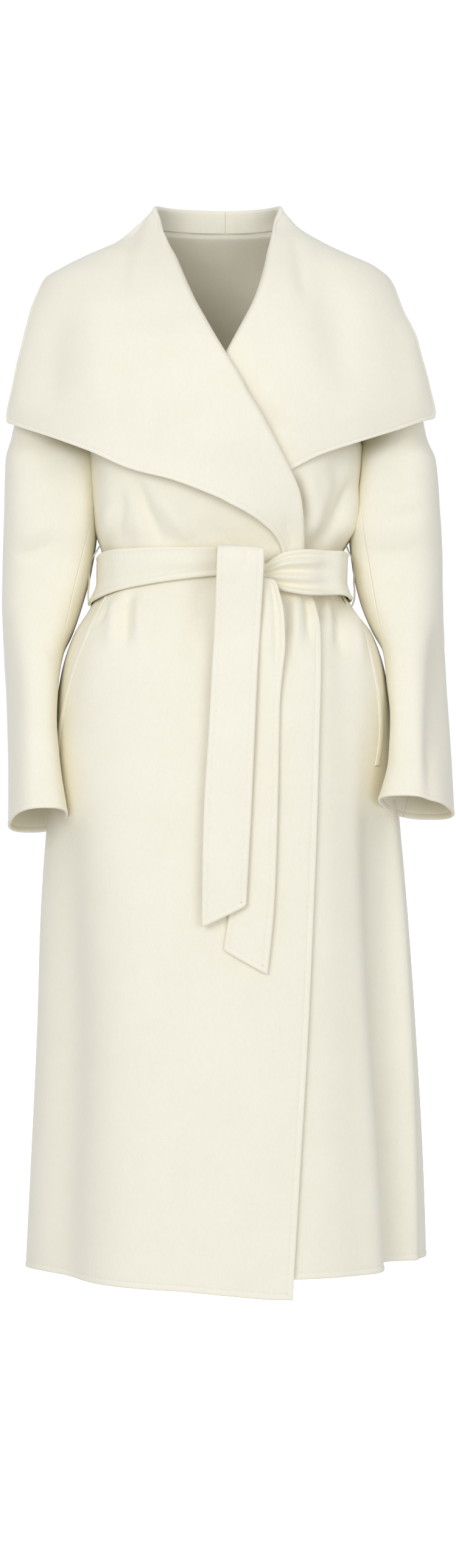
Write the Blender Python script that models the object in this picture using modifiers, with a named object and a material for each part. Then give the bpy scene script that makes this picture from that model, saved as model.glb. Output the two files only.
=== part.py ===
"""A long wrap coat of thick double-faced wool, held as it hangs when worn.

The coat is hollow. Its front faces -Y, +X is the wearer's left side, +Z is up, and the origin is
the middle of the neck at the height where the collar leaves the shoulders.

Every panel is a grid of points on a form that is worked out from a table of level sections. A
section's point is given by its angle round the body: 0 is the middle of the front, +90 degrees is
the wearer's left side and 180 degrees is the middle of the back.
"""

import math

import bpy
import numpy as np

# --- driving sizes, in metres -------------------------------------------------------------------

COLLECTION = "wrap_coat"
CLOTH = 0.0025  # double-faced wool
BELT_CLOTH = 0.0040  # the belt is two layers of it
CARRIER_CLOTH = 0.0012
SEAM_GAP = 0.0003
LAPEL_GAP = 0.0012  # between a front's edge and the lapel that folds back from it
SEAM_STRIP_DEGREES = 1.2  # narrow column beside a seam, which keeps its rim square
SLEEVE_STRIP_DEGREES = 3.6  # the same on a sleeve
SLEEVE_GAP_DEGREES = 0.15  # half of the gap at a sleeve's seam
FRONT_COLUMNS = 10
FRONT_DEGREES = 110.0  # about how far each front reaches round the body
BACK_COLUMNS = 13
BACK_DEGREES = 180.0
ARMHOLE_STEPS = 6
UNDERARM = -0.225
SHOULDER_TIP = -0.030
ARMHOLE_ACROSS = {-1: 0.160, 1: 0.152}  # by side: -1 is the wearer's right, +1 the left
NECKLINE = 0.015
HEM = -1.190
HEM_TURN = -1.050  # the hem's own line fades out up to this height
FOLD_DEPTH = 0.005  # how far the collar's fold reaches past the cloth that it turns over
FOLD_START = 0.5  # share of that reach where the fold's curve begins
UP = np.array([0.0, 0.0, 1.0])
STAND_FOLD = 0.007  # thickness of the collar's fold behind the neck
WOOL_COLOUR = (0.87, 0.85, 0.75, 1.0)
WOOL_ROUGHNESS = 0.9

# --- tables -------------------------------------------------------------------------------------

# Level sections of the coat's body: height, reach to the wearer's right and left, to the front and
# to the back, and roundness (2 is an ellipse, more is squarer).
BODY_SECTIONS = (
    (-1.190, 0.2290, 0.2320, 0.172, 0.168, 2.2),
    (-1.050, 0.2220, 0.2270, 0.165, 0.162, 2.2),
    (-0.910, 0.2155, 0.2190, 0.160, 0.157, 2.2),
    (-0.770, 0.2110, 0.2090, 0.156, 0.153, 2.2),
    (-0.660, 0.1970, 0.1945, 0.153, 0.151, 2.2),
    (-0.570, 0.1915, 0.1865, 0.148, 0.146, 2.2),
    (-0.500, 0.1865, 0.1820, 0.139, 0.134, 2.2),
    (-0.455, 0.1725, 0.1675, 0.127, 0.119, 2.2),
    (-0.425, 0.1540, 0.1450, 0.114, 0.106, 2.2),
    (-0.395, 0.1420, 0.1320, 0.106, 0.098, 2.2),
    (-0.365, 0.1410, 0.1315, 0.106, 0.098, 2.2),
    (-0.335, 0.1470, 0.1420, 0.114, 0.101, 2.2),
    (-0.308, 0.1490, 0.1470, 0.121, 0.104, 2.2),
    (-0.285, 0.1510, 0.1500, 0.126, 0.107, 2.2),
    (-0.246, 0.1530, 0.1510, 0.133, 0.112, 2.2),
    (-0.225, 0.1600, 0.1520, 0.134, 0.116, 2.2),
    (-0.176, 0.1690, 0.1640, 0.131, 0.121, 2.2),
    (-0.128, 0.1750, 0.1680, 0.118, 0.121, 2.2),
    (-0.079, 0.1720, 0.1650, 0.095, 0.111, 2.2),
    (-0.030, 0.1600, 0.1520, 0.058, 0.096, 2.2),
    (-0.015, 0.1320, 0.1180, 0.048, 0.088, 2.2),
    (0.000, 0.1070, 0.0930, 0.036, 0.078, 2.2),
    (0.015, 0.0890, 0.0710, 0.020, 0.066, 2.2),
)

# The same for the form that the collar and lapels lie on: shoulders and upper arms together.
COLLAR_SECTIONS = (
    (-0.400, 0.1700, 0.1650, 0.115, 0.110, 2.1),
    (-0.365, 0.1800, 0.1750, 0.117, 0.110, 2.0),
    (-0.335, 0.2050, 0.2000, 0.124, 0.110, 1.9),
    (-0.308, 0.2300, 0.2250, 0.131, 0.115, 1.8),
    (-0.285, 0.2450, 0.2400, 0.136, 0.120, 1.8),
    (-0.240, 0.2500, 0.2430, 0.143, 0.128, 1.9),
    (-0.206, 0.2480, 0.2416, 0.144, 0.132, 2.0),
    (-0.177, 0.2410, 0.2340, 0.140, 0.133, 2.0),
    (-0.144, 0.2346, 0.2240, 0.134, 0.133, 2.0),
    (-0.108, 0.2290, 0.2140, 0.120, 0.131, 2.1),
    (-0.084, 0.2240, 0.2050, 0.108, 0.127, 2.2),
    (-0.064, 0.2160, 0.1980, 0.096, 0.121, 2.2),
    (-0.047, 0.2050, 0.1870, 0.083, 0.119, 2.2),
    (-0.034, 0.1840, 0.1710, 0.072, 0.114, 2.2),
    (-0.021, 0.1580, 0.1430, 0.061, 0.107, 2.2),
    (-0.006, 0.1250, 0.1120, 0.048, 0.091, 2.2),
    (0.011, 0.1040, 0.0840, 0.030, 0.081, 2.2),
    (0.024, 0.0900, 0.0720, 0.018, 0.074, 2.2),
    (0.038, 0.0770, 0.0600, 0.012, 0.070, 2.2),
)

# Opening edges of the two fronts: height, and how far across the wearer's right front's edge and
# the left front's edge lie. Above the belt they are the lines where the lapels fold.
OPENING_EDGES = (
    (-1.190, 0.0755, -0.0800),
    (-1.050, 0.0840, -0.0830),
    (-0.910, 0.0925, -0.0850),
    (-0.770, 0.0990, -0.0850),
    (-0.660, 0.1035, -0.0850),
    (-0.570, 0.1060, -0.0850),
    (-0.500, 0.1080, -0.0850),
    (-0.455, 0.1085, -0.0850),
    (-0.425, 0.1040, -0.0850),
    (-0.395, 0.0900, -0.0850),
    (-0.365, 0.0845, -0.0845),
    (-0.335, 0.0820, -0.0822),
    (-0.308, 0.0789, -0.0790),
    (-0.285, 0.0705, -0.0710),
    (-0.246, 0.0504, -0.0520),
    (-0.217, 0.0350, -0.0370),
    (-0.190, 0.0195, -0.0210),
    (-0.153, 0.0021, 0.0021),
    (-0.129, -0.0141, 0.0130),
    (-0.082, -0.0399, 0.0375),
    (-0.035, -0.0601, 0.0520),
    (0.000, -0.0744, 0.0575),
    (0.018, -0.0776, 0.0600),
)

# How far the right front stands off the body's form where it laps over, and how far the right
# lapel stands off the collar's form: height, front, lapel.
OVERLAP_LIFTS = (
    (-1.190, 0.0060, 0.000),
    (-0.455, 0.0060, 0.000),
    (-0.425, 0.0105, 0.006),
    (-0.365, 0.0105, 0.006),
    (-0.308, 0.0125, 0.012),
    (-0.176, 0.0125, 0.013),
    (-0.128, 0.0085, 0.010),
    (-0.100, 0.0030, 0.005),
    (-0.079, 0.0000, 0.003),
    (-0.040, 0.0000, 0.000),
    (0.040, 0.0000, 0.000),
)

# Hem heights: angle round the body, right front, left front, back.
HEM_LINE = (
    (-90.0, -1.179, -1.179, -1.179),
    (16.0, -1.188, -1.166, -1.179),
    (90.0, -1.188, -1.168, -1.168),
    (180.0, -1.188, -1.168, -1.174),
    (270.0, -1.188, -1.168, -1.179),
)

# Large soft folds of the skirt and bodice: angle at the top and at the bottom, top height, bottom
# height, rise (a trough is negative), half width in degrees.
BODY_FOLDS = (
    (58.0, 50.0, -0.470, -1.250, 0.0070, 9.0),
    (76.0, 68.0, -0.560, -1.250, -0.0060, 9.0),
    (-57.0, -46.0, -0.700, -1.250, -0.0060, 9.0),
    (-30.0, -22.0, -0.520, -1.250, 0.0040, 13.0),
    (120.0, 114.0, -0.480, -1.250, 0.0070, 12.0),
    (142.0, 138.0, -0.500, -1.250, -0.0060, 11.0),
    (172.0, 176.0, -0.460, -1.250, 0.0080, 13.0),
    (214.0, 210.0, -0.480, -1.250, -0.0060, 12.0),
    (238.0, 244.0, -0.500, -1.250, 0.0070, 11.0),
    (52.0, 40.0, -0.220, -0.370, -0.0050, 9.0),
)

# The lapels' free edges: angle on the collar's form and height, a row for each of the body's rows from
# LAPEL_START up, where the lapel's fold follows the opening edge. Behind the neck the fold's height
# and angle come first, then the free edge's angle and height, up to the middle of the back.
LAPEL_START = -0.396
LAPEL_RIGHT = (
    (24.0, -0.3980),
    (22.8, -0.3685),
    (18.9, -0.3480),
    (14.5, -0.3345),
    (8.0, -0.3200),
    (-5.0, -0.3015),
    (-14.7, -0.2880),
    (-25.0, -0.2757),
    (-37.0, -0.2529),
    (-51.0, -0.2352),
    (-69.0, -0.2213),
    (-88.0, -0.2090),
    (-89.0, -0.160),
    (-90.0, -0.108),
    (-91.0, -0.066),
    (-95.0, -0.042),
)
NECK_RIGHT = (
    (0.028, -76.0, -107.0, -0.050),
    (0.033, -100.0, -123.0, -0.068),
    (0.035, -126.0, -141.0, -0.088),
    (0.036, -153.0, -160.0, -0.100),
    (0.036, -178.0, -178.5, -0.106),
    (0.036, -179.9, -179.9, -0.106),
)
LAPEL_LEFT = (
    (-24.0, -0.3980),
    (-22.0, -0.3685),
    (-18.0, -0.3480),
    (-11.0, -0.3320),
    (0.0, -0.3140),
    (10.0, -0.2940),
    (19.0, -0.2790),
    (28.0, -0.2600),
    (39.0, -0.2448),
    (51.0, -0.2311),
    (67.0, -0.2169),
    (87.0, -0.2050),
    (89.0, -0.155),
    (90.0, -0.105),
    (91.0, -0.065),
    (95.0, -0.042),
)
NECK_LEFT = (
    (0.028, 76.0, 107.0, -0.050),
    (0.033, 100.0, 123.0, -0.068),
    (0.035, 126.0, 141.0, -0.088),
    (0.036, 153.0, 160.0, -0.100),
    (0.036, 178.0, 178.5, -0.106),
    (0.036, 179.9, 179.9, -0.106),
)
COLLAR_FALL = (0.0, 0.15, 0.32, 0.50, 0.68, 0.84, 1.0)  # shares of the way from fold to free edge

# The right front and its lapel rise where they lap over: how many degrees to the wearer's right of the
# middle that starts, and over how many degrees the rise grows to the whole lift.
FRONT_RISE = (70.0, 30.0)
LAPEL_RISE = (80.0, 50.0)
RISEN_ANGLE = -20.0  # here both have risen to the whole lift

# The left lapel is pressed flat under the right front, and is free this far beyond its edge.
PRESS_WIDTH = 0.040
PRESSED_LIFT = 0.0045
PRESSED_TO = 75.0  # degrees from the middle of the front

# Sleeve caps fan out from the underarm: turn from upright in degrees, reach from the underarm to
# the outer side, half depth front to back.
CAP_RINGS = (
    (0.0, 0.1950, 0.0600),
    (3.0, 0.1897, 0.0620),
    (12.0, 0.1640, 0.0610),
    (25.0, 0.1230, 0.0590),
    (50.0, 0.0810, 0.0570),
    (75.0, 0.0705, 0.0570),
    (90.0, 0.0715, 0.0580),
)
UNDERARM_FOLD = 0.010  # radius of the soft fold under the arm, round which the cap's rings turn
CAP_SETTLE = 40.0  # the armhole's own outline has faded to a plain oval by this turn

# Sleeves below the underarm: height, how far the middle lies out and forward, half width, half
# depth, turn of the oval about the upright axis, and how far its front rises, both in degrees.
SLEEVE_RIGHT = (
    (-0.257, 0.2030, 0.000, 0.0475, 0.0640, 0.0, 0.0),
    (-0.295, 0.2030, -0.002, 0.0490, 0.0680, 0.0, 0.0),
    (-0.335, 0.2020, -0.004, 0.0500, 0.0680, 0.0, 0.0),
    (-0.380, 0.2060, -0.004, 0.0485, 0.0670, 2.0, 2.0),
    (-0.420, 0.2095, 0.000, 0.0455, 0.0660, 4.0, 5.0),
    (-0.453, 0.2165, 0.008, 0.0380, 0.0660, 6.0, 8.0),
    (-0.482, 0.2205, 0.018, 0.0310, 0.0655, 9.0, 10.0),
    (-0.515, 0.2215, 0.030, 0.0280, 0.0645, 12.0, 11.0),
    (-0.555, 0.2210, 0.045, 0.0260, 0.0630, 15.0, 12.0),
    (-0.608, 0.2195, 0.062, 0.0260, 0.0610, 18.0, 12.0),
    (-0.663, 0.2160, 0.078, 0.0270, 0.0600, 20.0, 12.0),
)
SLEEVE_LEFT = (
    (-0.257, 0.1985, 0.000, 0.0440, 0.0640, 0.0, 0.0),
    (-0.295, 0.1990, -0.002, 0.0450, 0.0680, 0.0, 0.0),
    (-0.335, 0.1970, -0.004, 0.0490, 0.0680, 0.0, 0.0),
    (-0.380, 0.1995, -0.004, 0.0490, 0.0670, 2.0, 2.0),
    (-0.420, 0.2030, 0.000, 0.0455, 0.0660, 4.0, 5.0),
    (-0.453, 0.2115, 0.008, 0.0375, 0.0660, 6.0, 8.0),
    (-0.482, 0.2175, 0.018, 0.0320, 0.0655, 9.0, 10.0),
    (-0.515, 0.2205, 0.030, 0.0300, 0.0645, 12.0, 11.0),
    (-0.555, 0.2225, 0.045, 0.0290, 0.0640, 15.0, 12.0),
    (-0.608, 0.2225, 0.062, 0.0300, 0.0630, 18.0, 12.0),
    (-0.655, 0.2200, 0.076, 0.0335, 0.0630, 20.0, 12.0),
)
UNDER_SLEEVE = (135.0, 225.0)  # seams of the narrow under sleeve: 0 is outside, 90 front, 180 inside

# The belt round the waist, from the knot round the wearer's right side, the back and the left side:
# angle, top height, bottom height, stand-off of its outer face from the body's form.
BELT_STRETCH = (
    (-3.0, -0.3625, -0.3940, 0.0190),
    (-20.0, -0.3620, -0.4000, 0.0175),
    (-42.0, -0.3625, -0.4080, 0.0170),
    (-55.0, -0.3633, -0.4125, 0.0130),
    (-70.0, -0.3645, -0.4165, 0.0080),
    (-90.0, -0.3674, -0.4203, 0.0060),
    (-180.0, -0.3660, -0.4190, 0.0060),
    (-270.0, -0.3638, -0.4155, 0.0060),
    (-290.0, -0.3640, -0.4152, 0.0110),
    (-302.0, -0.3642, -0.4142, 0.0190),
    (-312.0, -0.3645, -0.4130, 0.0255),
    (-327.0, -0.3665, -0.4118, 0.0270),
    (-336.0, -0.3730, -0.4060, 0.0260),
    (-345.0, -0.3835, -0.3970, 0.0240),
)
BELT_COLUMN_DEGREES = 9.0
BELT_ROWS = 3

# Hanging belt ends, from the tie down: right edge, left edge, how far forward, height of the right
# edge, height of the left edge. The first one starts behind the knot and passes over it.
BELT_END_FRONT = (
    (-0.0060, 0.0400, 0.1335, -0.3760, -0.3780),
    (-0.0080, 0.0425, 0.1345, -0.3580, -0.3600),
    (-0.0085, 0.0430, 0.1440, -0.3520, -0.3545),
    (-0.0090, 0.0432, 0.1570, -0.3560, -0.3585),
    (-0.0095, 0.0430, 0.1620, -0.3720, -0.3740),
    (-0.0105, 0.0415, 0.1600, -0.4100, -0.4100),
    (-0.0126, 0.0385, 0.1570, -0.4600, -0.4600),
    (-0.0150, 0.0360, 0.1630, -0.5000, -0.5000),
    (-0.0186, 0.0328, 0.1700, -0.5700, -0.5700),
    (-0.0240, 0.0288, 0.1740, -0.6600, -0.6600),
    (-0.0255, 0.0255, 0.1760, -0.7250, -0.7200),
    (-0.0260, 0.0235, 0.1770, -0.7828, -0.7588),
)
BELT_END_UNDER = (
    (0.0400, 0.0500, 0.1440, -0.4000, -0.4000),
    (0.0320, 0.0600, 0.1440, -0.4180, -0.4180),
    (0.0180, 0.0665, 0.1450, -0.4500, -0.4500),
    (0.0150, 0.0637, 0.1530, -0.5000, -0.5000),
    (0.0100, 0.0597, 0.1600, -0.5700, -0.5700),
    (0.0085, 0.0580, 0.1650, -0.6600, -0.6600),
    (0.0045, 0.0545, 0.1675, -0.7550, -0.7550),
    (-0.0020, 0.0470, 0.1690, -0.8078, -0.8352),
)
BELT_END_COLUMNS = 2
KNOT_CENTRE = (0.018, -0.1455, -0.3760)
KNOT_RADII = (0.019, 0.0070, 0.0150)
KNOT_SEGMENTS = 12
KNOT_RINGS = 8

# Thin carriers that hold the belt at the side seams: height, stand-off from the body's form.
CARRIER_PATH = (
    (-0.350, 0.0030),
    (-0.362, 0.0090),
    (-0.379, 0.0125),
    (-0.397, 0.0135),
    (-0.415, 0.0110),
    (-0.432, 0.0030),
)
CARRIER_HALF_WIDTH_DEGREES = 2.0

# Slanted side pockets: height, angle of the lip's front edge on the right and on the left front.
POCKET_LINE = (
    (-0.425, -58.0, 71.0),
    (-0.455, -58.0, 66.0),
    (-0.500, -61.8, 64.0),
    (-0.570, -69.0, 66.5),
    (-0.605, -69.0, 64.0),
)
POCKET_LIP_DEGREES = 3.5
POCKET_LIP_LIFT = 0.0040


# --- forms --------------------------------------------------------------------------------------


def column(table, height, index):
    """One column of a table at a height, straight between its rows."""
    rows = np.array(table, dtype=float)
    order = np.argsort(rows[:, 0])
    return np.interp(height, rows[order, 0], rows[order, index])


def folds(angle, height):
    """Sum of the soft folds at a point of the body's form: bell-shaped across, faded in from the top."""
    total = np.zeros(np.broadcast(angle, height).shape)
    for top_angle, bottom_angle, top, bottom, rise, width in BODY_FOLDS:
        along = np.clip((top - height) / (top - bottom), 0.0, 1.0)
        middle = top_angle + (bottom_angle - top_angle) * along
        away = (np.mod(angle - middle + 180.0, 360.0) - 180.0) / width
        total = total + rise * np.exp(-(away**2)) * np.sin(np.minimum(along * 2.0, 1.0) * math.pi / 2)
    return total


def section_point(table, angle, height, lift):
    """Points of a form: angles in degrees and heights, moved out by lift."""
    turn = np.radians(angle)
    sine = np.sin(turn)
    cosine = np.cos(turn)
    power = 2.0 / column(table, height, 5)
    reach = np.where(sine < 0, column(table, height, 1), column(table, height, 2)) + lift
    depth = np.where(cosine > 0, column(table, height, 3), column(table, height, 4)) + lift
    across = reach * np.sign(sine) * np.abs(sine) ** power
    back = -depth * np.sign(cosine) * np.abs(cosine) ** power
    return np.stack(np.broadcast_arrays(across, back, height), axis=-1)


def body_point(angle, height, lift=0.0):
    """Points of the coat's body with its folds."""
    return section_point(BODY_SECTIONS, angle, height, lift + folds(angle, height))


def front_angle(table, across, height, lift=0.0):
    """Angle at which the front half of a form's section lies that far across."""
    reach = np.where(across < 0, column(table, height, 1), column(table, height, 2)) + lift
    share = np.clip(np.abs(across) / reach, 0.0, 1.0)
    return np.sign(across) * np.degrees(np.arcsin(share ** (column(table, height, 5) / 2.0)))


def soft_step(share):
    """Smooth rise from 0 to 1."""
    share = np.clip(share, 0.0, 1.0)
    return share * share * (3.0 - 2.0 * share)


def overlap_lift(angle, height):
    """How far the right front stands out: nothing at its side, the whole lift where it laps over."""
    start, width = FRONT_RISE
    return column(OVERLAP_LIFTS, height, 1) * soft_step((angle + start) / width)


def armhole_heights():
    """Rows of the armhole from the underarm up, closer together at its two ends."""
    middle = (UNDERARM + SHOULDER_TIP) / 2
    half = (SHOULDER_TIP - UNDERARM) / 2
    return [middle - half * math.cos(math.pi * k / ARMHOLE_STEPS) for k in range(ARMHOLE_STEPS + 1)]


def body_rows():
    """Heights of every row of the body panels, hem to neckline."""
    skirt = [row[0] for row in BODY_SECTIONS if row[0] < UNDERARM]
    shoulder = [row[0] for row in BODY_SECTIONS if row[0] > SHOULDER_TIP]
    return np.array(skirt + armhole_heights() + shoulder)


# --- meshes -------------------------------------------------------------------------------------


def wool_material(name):
    """Plain ivory wool."""
    material = bpy.data.materials.new(name)
    material.use_nodes = True
    shader = material.node_tree.nodes["Principled BSDF"]
    shader.inputs["Base Color"].default_value = WOOL_COLOUR
    shader.inputs["Roughness"].default_value = WOOL_ROUGHNESS
    shader.inputs["Metallic"].default_value = 0.0
    return material


def cloth_piece(name, grid, thickness):
    """A sheet through a grid of points, rows by columns, with its wall behind its face."""
    rows, columns = grid.shape[:2]
    index = np.arange(rows * columns).reshape(rows, columns)
    corners = (index[:-1, :-1], index[:-1, 1:], index[1:, 1:], index[1:, :-1])
    faces = np.stack([corner.ravel() for corner in corners], axis=1)
    mesh = bpy.data.meshes.new(name)
    mesh.from_pydata(grid.reshape(-1, 3).tolist(), [], faces.tolist())
    mesh.validate()
    mesh.shade_smooth()
    piece = bpy.data.objects.new(name, mesh)
    piece.data.materials.append(wool_material(name + "_wool"))
    bpy.data.collections[COLLECTION].objects.link(piece)
    wall = piece.modifiers.new("wall", "SOLIDIFY")
    wall.thickness = thickness
    wall.offset = -1.0
    return piece


def panel_shares(columns, strips, width):
    """Column positions from 0 to 1, with a narrow strip at the ends that are seams."""
    strip = SEAM_STRIP_DEGREES / width
    start, end = strips
    inner = np.linspace(strip if start else 0.0, 1.0 - strip if end else 1.0, columns + 1)
    return np.concatenate([[0.0] * start, inner, [1.0] * end])


def hem_shift(heights, angle, panel):
    """How far each row moves so that the lowest one follows the hem."""
    hem = column(HEM_LINE, angle, panel)
    share = np.clip((HEM_TURN - heights) / (HEM_TURN - HEM), 0.0, 1.0)
    return (hem - HEM) * share


def side_angle(side, heights):
    """Angle of a front's outer edge on its own half: the side seam, or the armhole where it opens."""
    across = side * np.full_like(heights, ARMHOLE_ACROSS[side] - SEAM_GAP / 2)
    in_armhole = (heights > UNDERARM) & (heights < SHOULDER_TIP)
    cut = front_angle(BODY_SECTIONS, across, heights)
    return np.where(in_armhole, cut, side * 90.0)


def seam_degrees(heights):
    """Half of the seam's gap as an angle."""
    return np.degrees(SEAM_GAP / 2 / column(BODY_SECTIONS, heights, 3))


def make_front(name, side, edge_column, lift, panel):
    """A front, from its side seam, armhole and shoulder seam to its opening edge."""
    heights = body_rows()
    across = column(OPENING_EDGES, heights, edge_column) + side * LAPEL_GAP
    opening = front_angle(BODY_SECTIONS, across, heights, lift(RISEN_ANGLE, heights))
    start = side_angle(side, heights) - side * seam_degrees(heights)
    shares = panel_shares(FRONT_COLUMNS, (1, 0), FRONT_DEGREES)
    if side > 0:
        start, opening = opening, start
        shares = 1.0 - shares[::-1]
    angle = start[:, None] + (opening - start)[:, None] * shares[None, :]
    height = heights[:, None] + hem_shift(heights[:, None], angle, panel)
    return cloth_piece(name, body_point(angle, height, lift(angle, height)), CLOTH)


def make_back():
    """The back, from side seam to side seam and up to the neckline."""
    heights = body_rows()
    edges = []
    for side in (1, -1):
        across = np.full_like(heights, ARMHOLE_ACROSS[side] - SEAM_GAP / 2)
        in_armhole = (heights > UNDERARM) & (heights < SHOULDER_TIP)
        reach = column(BODY_SECTIONS, heights, 2 if side > 0 else 1)
        share = np.clip(across / reach, 0.0, 1.0) ** (column(BODY_SECTIONS, heights, 5) / 2.0)
        cut = 180.0 - np.degrees(np.arcsin(share))
        edges.append(np.where(in_armhole, cut, 90.0) + seam_degrees(heights))
    start = edges[0]
    end = 360.0 - edges[1]
    shares = panel_shares(BACK_COLUMNS, (1, 1), BACK_DEGREES)
    angle = start[:, None] + (end - start)[:, None] * shares[None, :]
    height = heights[:, None] + hem_shift(heights[:, None], angle, 3)
    return cloth_piece("back", body_point(angle, height), CLOTH)


# --- collar -------------------------------------------------------------------------------------


def fold_arc(inner, outer, outward):
    """Two points that carry the cloth round the fold from its inner to its outer side."""
    middle = (inner + outer) / 2
    return [
        middle + (inner - middle) * math.cos(turn) + outward * FOLD_DEPTH * math.sin(turn)
        for turn in (math.pi / 3, 2 * math.pi / 3)
    ]


def lapel_lift(angle, height):
    """How far the right lapel stands off the collar's form."""
    start, width = LAPEL_RISE
    return column(OVERLAP_LIFTS, height, 2) * soft_step((angle + start) / width)


def collar_face(side, angle, height):
    """Point of the collar's outer face: over the right front's lift, or pressed under it."""
    if side < 0:
        return section_point(COLLAR_SECTIONS, angle, height, lapel_lift(angle, height))
    point = section_point(COLLAR_SECTIONS, angle, height, 0.0)
    covered_to = column(OPENING_EDGES, height, 1)
    free = np.clip((point[..., 0] - covered_to) / PRESS_WIDTH, 0.0, 1.0)
    under = front_angle(BODY_SECTIONS, point[..., 0], height, PRESSED_LIFT)
    pressed = body_point(under, height, PRESSED_LIFT)
    on_front = np.abs(angle) < PRESSED_TO
    point[..., 1] = np.where(on_front, pressed[..., 1] + (point[..., 1] - pressed[..., 1]) * free, point[..., 1])
    return point


def collar_fall(side, fold_angle, fold_height, edge_angle, edge_height):
    """Points of the collar's outer face from its fold down to its free edge."""
    fall = np.array(COLLAR_FALL)
    angle = fold_angle + (edge_angle - fold_angle) * fall
    return collar_face(side, angle, fold_height + (edge_height - fold_height) * fall)


def lapel_station(side, edge_column, height, edge_angle, edge_height):
    """Points of the lapel at one height: its seam with the front, its fold and its fall."""
    across = column(OPENING_EDGES, height, edge_column)
    lapped = overlap_lift(RISEN_ANGLE, height) if side < 0 else 0.0
    on_body = front_angle(BODY_SECTIONS, across, height, lapped)
    seam = body_point(on_body, height, lapped - CLOTH)
    outward = body_point(on_body - side, height, lapped - CLOTH) - seam
    outward = outward / np.linalg.norm(outward)
    inner = seam + outward * FOLD_DEPTH * FOLD_START
    lean = np.clip((height - SHOULDER_TIP) / (NECKLINE - SHOULDER_TIP), 0.0, 1.0)
    outward = outward * (1.0 - lean) + UP * lean
    risen = lapel_lift(RISEN_ANGLE, height) if side < 0 else 0.0
    fold_angle = float(front_angle(COLLAR_SECTIONS, across, height, risen))
    outer = collar_fall(side, fold_angle, height, edge_angle, edge_height)
    return [seam, inner, *fold_arc(inner, outer[0], outward), *outer]


def neck_station(side, fold_height, fold_angle, edge_angle, edge_height):
    """Points of the collar behind the neck: up the inside of its stand, over its fold and down."""
    seam = body_point(np.array(fold_angle), np.array(NECKLINE + SEAM_GAP), -CLOTH)
    inner = section_point(COLLAR_SECTIONS, np.array(fold_angle), np.array(fold_height), -STAND_FOLD)
    outer = collar_fall(side, fold_angle, fold_height, edge_angle, edge_height)
    return [seam, inner, *fold_arc(inner, outer[0], UP), *outer]


def make_collar(name, side, edge_column, lapel, neck):
    """One half of the shawl collar with its lapel, cut in one."""
    heights = [height for height in body_rows() if height > LAPEL_START]
    stations = [lapel_station(side, edge_column, height, *row) for height, row in zip(heights, lapel)]
    stations += [neck_station(side, *row) for row in neck]
    grid = np.array(stations)
    if side < 0:
        grid = grid[::-1]
    return cloth_piece(name, grid, CLOTH)


# --- sleeves ------------------------------------------------------------------------------------


def sleeve_columns(first, last):
    """Angles round a sleeve from one seam to the next, with a narrow strip beside each."""
    step = 180.0 / ARMHOLE_STEPS
    turns = range(-2 * ARMHOLE_STEPS, 2 * ARMHOLE_STEPS + 1)
    strip = SLEEVE_STRIP_DEGREES
    gap = SLEEVE_GAP_DEGREES
    inner = [step * k for k in turns if first + strip < step * k < last - strip]
    return np.array([first + gap, first + strip, *inner, last - strip, last - gap])


def armhole_ring(side, around):
    """The armhole's outline, where the upright plane of the sleeve's seam cuts the body's form."""
    turn = np.radians(around)
    height = (UNDERARM + SHOULDER_TIP) / 2 + (SHOULDER_TIP - UNDERARM) / 2 * np.cos(turn)
    across = ARMHOLE_ACROSS[side]
    reach = column(BODY_SECTIONS, height, 2 if side > 0 else 1)
    power = column(BODY_SECTIONS, height, 5)
    share = np.clip(1.0 - (across / reach) ** power, 0.0, 1.0) ** (1.0 / power)
    forward = np.where(
        np.sin(turn) > 0, column(BODY_SECTIONS, height, 3), -column(BODY_SECTIONS, height, 4)
    )
    outward = np.full_like(height, across + SEAM_GAP / 2)
    return np.stack([side * outward, -forward * share, height], axis=-1)


def cap_ring(side, around, turn_out, reach, depth):
    """One ring of the sleeve cap, fanned out from the underarm."""
    turn = np.radians(around)
    lean = math.radians(turn_out)
    along = UNDERARM_FOLD + reach * (1.0 + np.cos(turn)) / 2
    oval = np.stack(
        [
            side * (ARMHOLE_ACROSS[side] + SEAM_GAP / 2 + along * math.sin(lean)),
            -depth * np.sin(turn),
            UNDERARM - UNDERARM_FOLD + along * math.cos(lean),
        ],
        axis=-1,
    )
    own = armhole_ring(side, around)
    oval[:, 1] = own[:, 1] + (oval[:, 1] - own[:, 1]) * soft_step(turn_out / CAP_SETTLE)
    return oval


def arm_ring(side, around, row):
    """One ring of the sleeve below the underarm."""
    height, out, forward, half_width, half_depth, turned, risen = row
    turn = np.radians(around)
    swing = math.radians(turned)
    rise = math.radians(risen)
    wide = half_width * np.cos(turn)
    deep = half_depth * np.sin(turn)
    across = out + wide * math.cos(swing) - deep * math.sin(swing)
    ahead = forward + (deep * math.cos(swing) + wide * math.sin(swing)) * math.cos(rise)
    return np.stack([side * across, -ahead, height + deep * math.sin(rise)], axis=-1)


def make_sleeve_part(name, side, table, first, last):
    """The top sleeve or the under sleeve, armhole to cuff."""
    around = sleeve_columns(first, last)
    rings = [cap_ring(side, around, *row) for row in CAP_RINGS]
    rings += [arm_ring(side, around, row) for row in table]
    grid = np.array(rings)
    if side < 0:
        grid = grid[:, ::-1]
    return cloth_piece(name, grid, CLOTH)


# --- belt, carriers and pockets -----------------------------------------------------------------


def belt_face(angle, share):
    """Point of the belt's outer face: share 0 is its lower edge, 1 its upper edge."""
    top = column(BELT_STRETCH, angle, 1)
    bottom = column(BELT_STRETCH, angle, 2)
    return body_point(angle, bottom + (top - bottom) * share, column(BELT_STRETCH, angle, 3))


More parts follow.
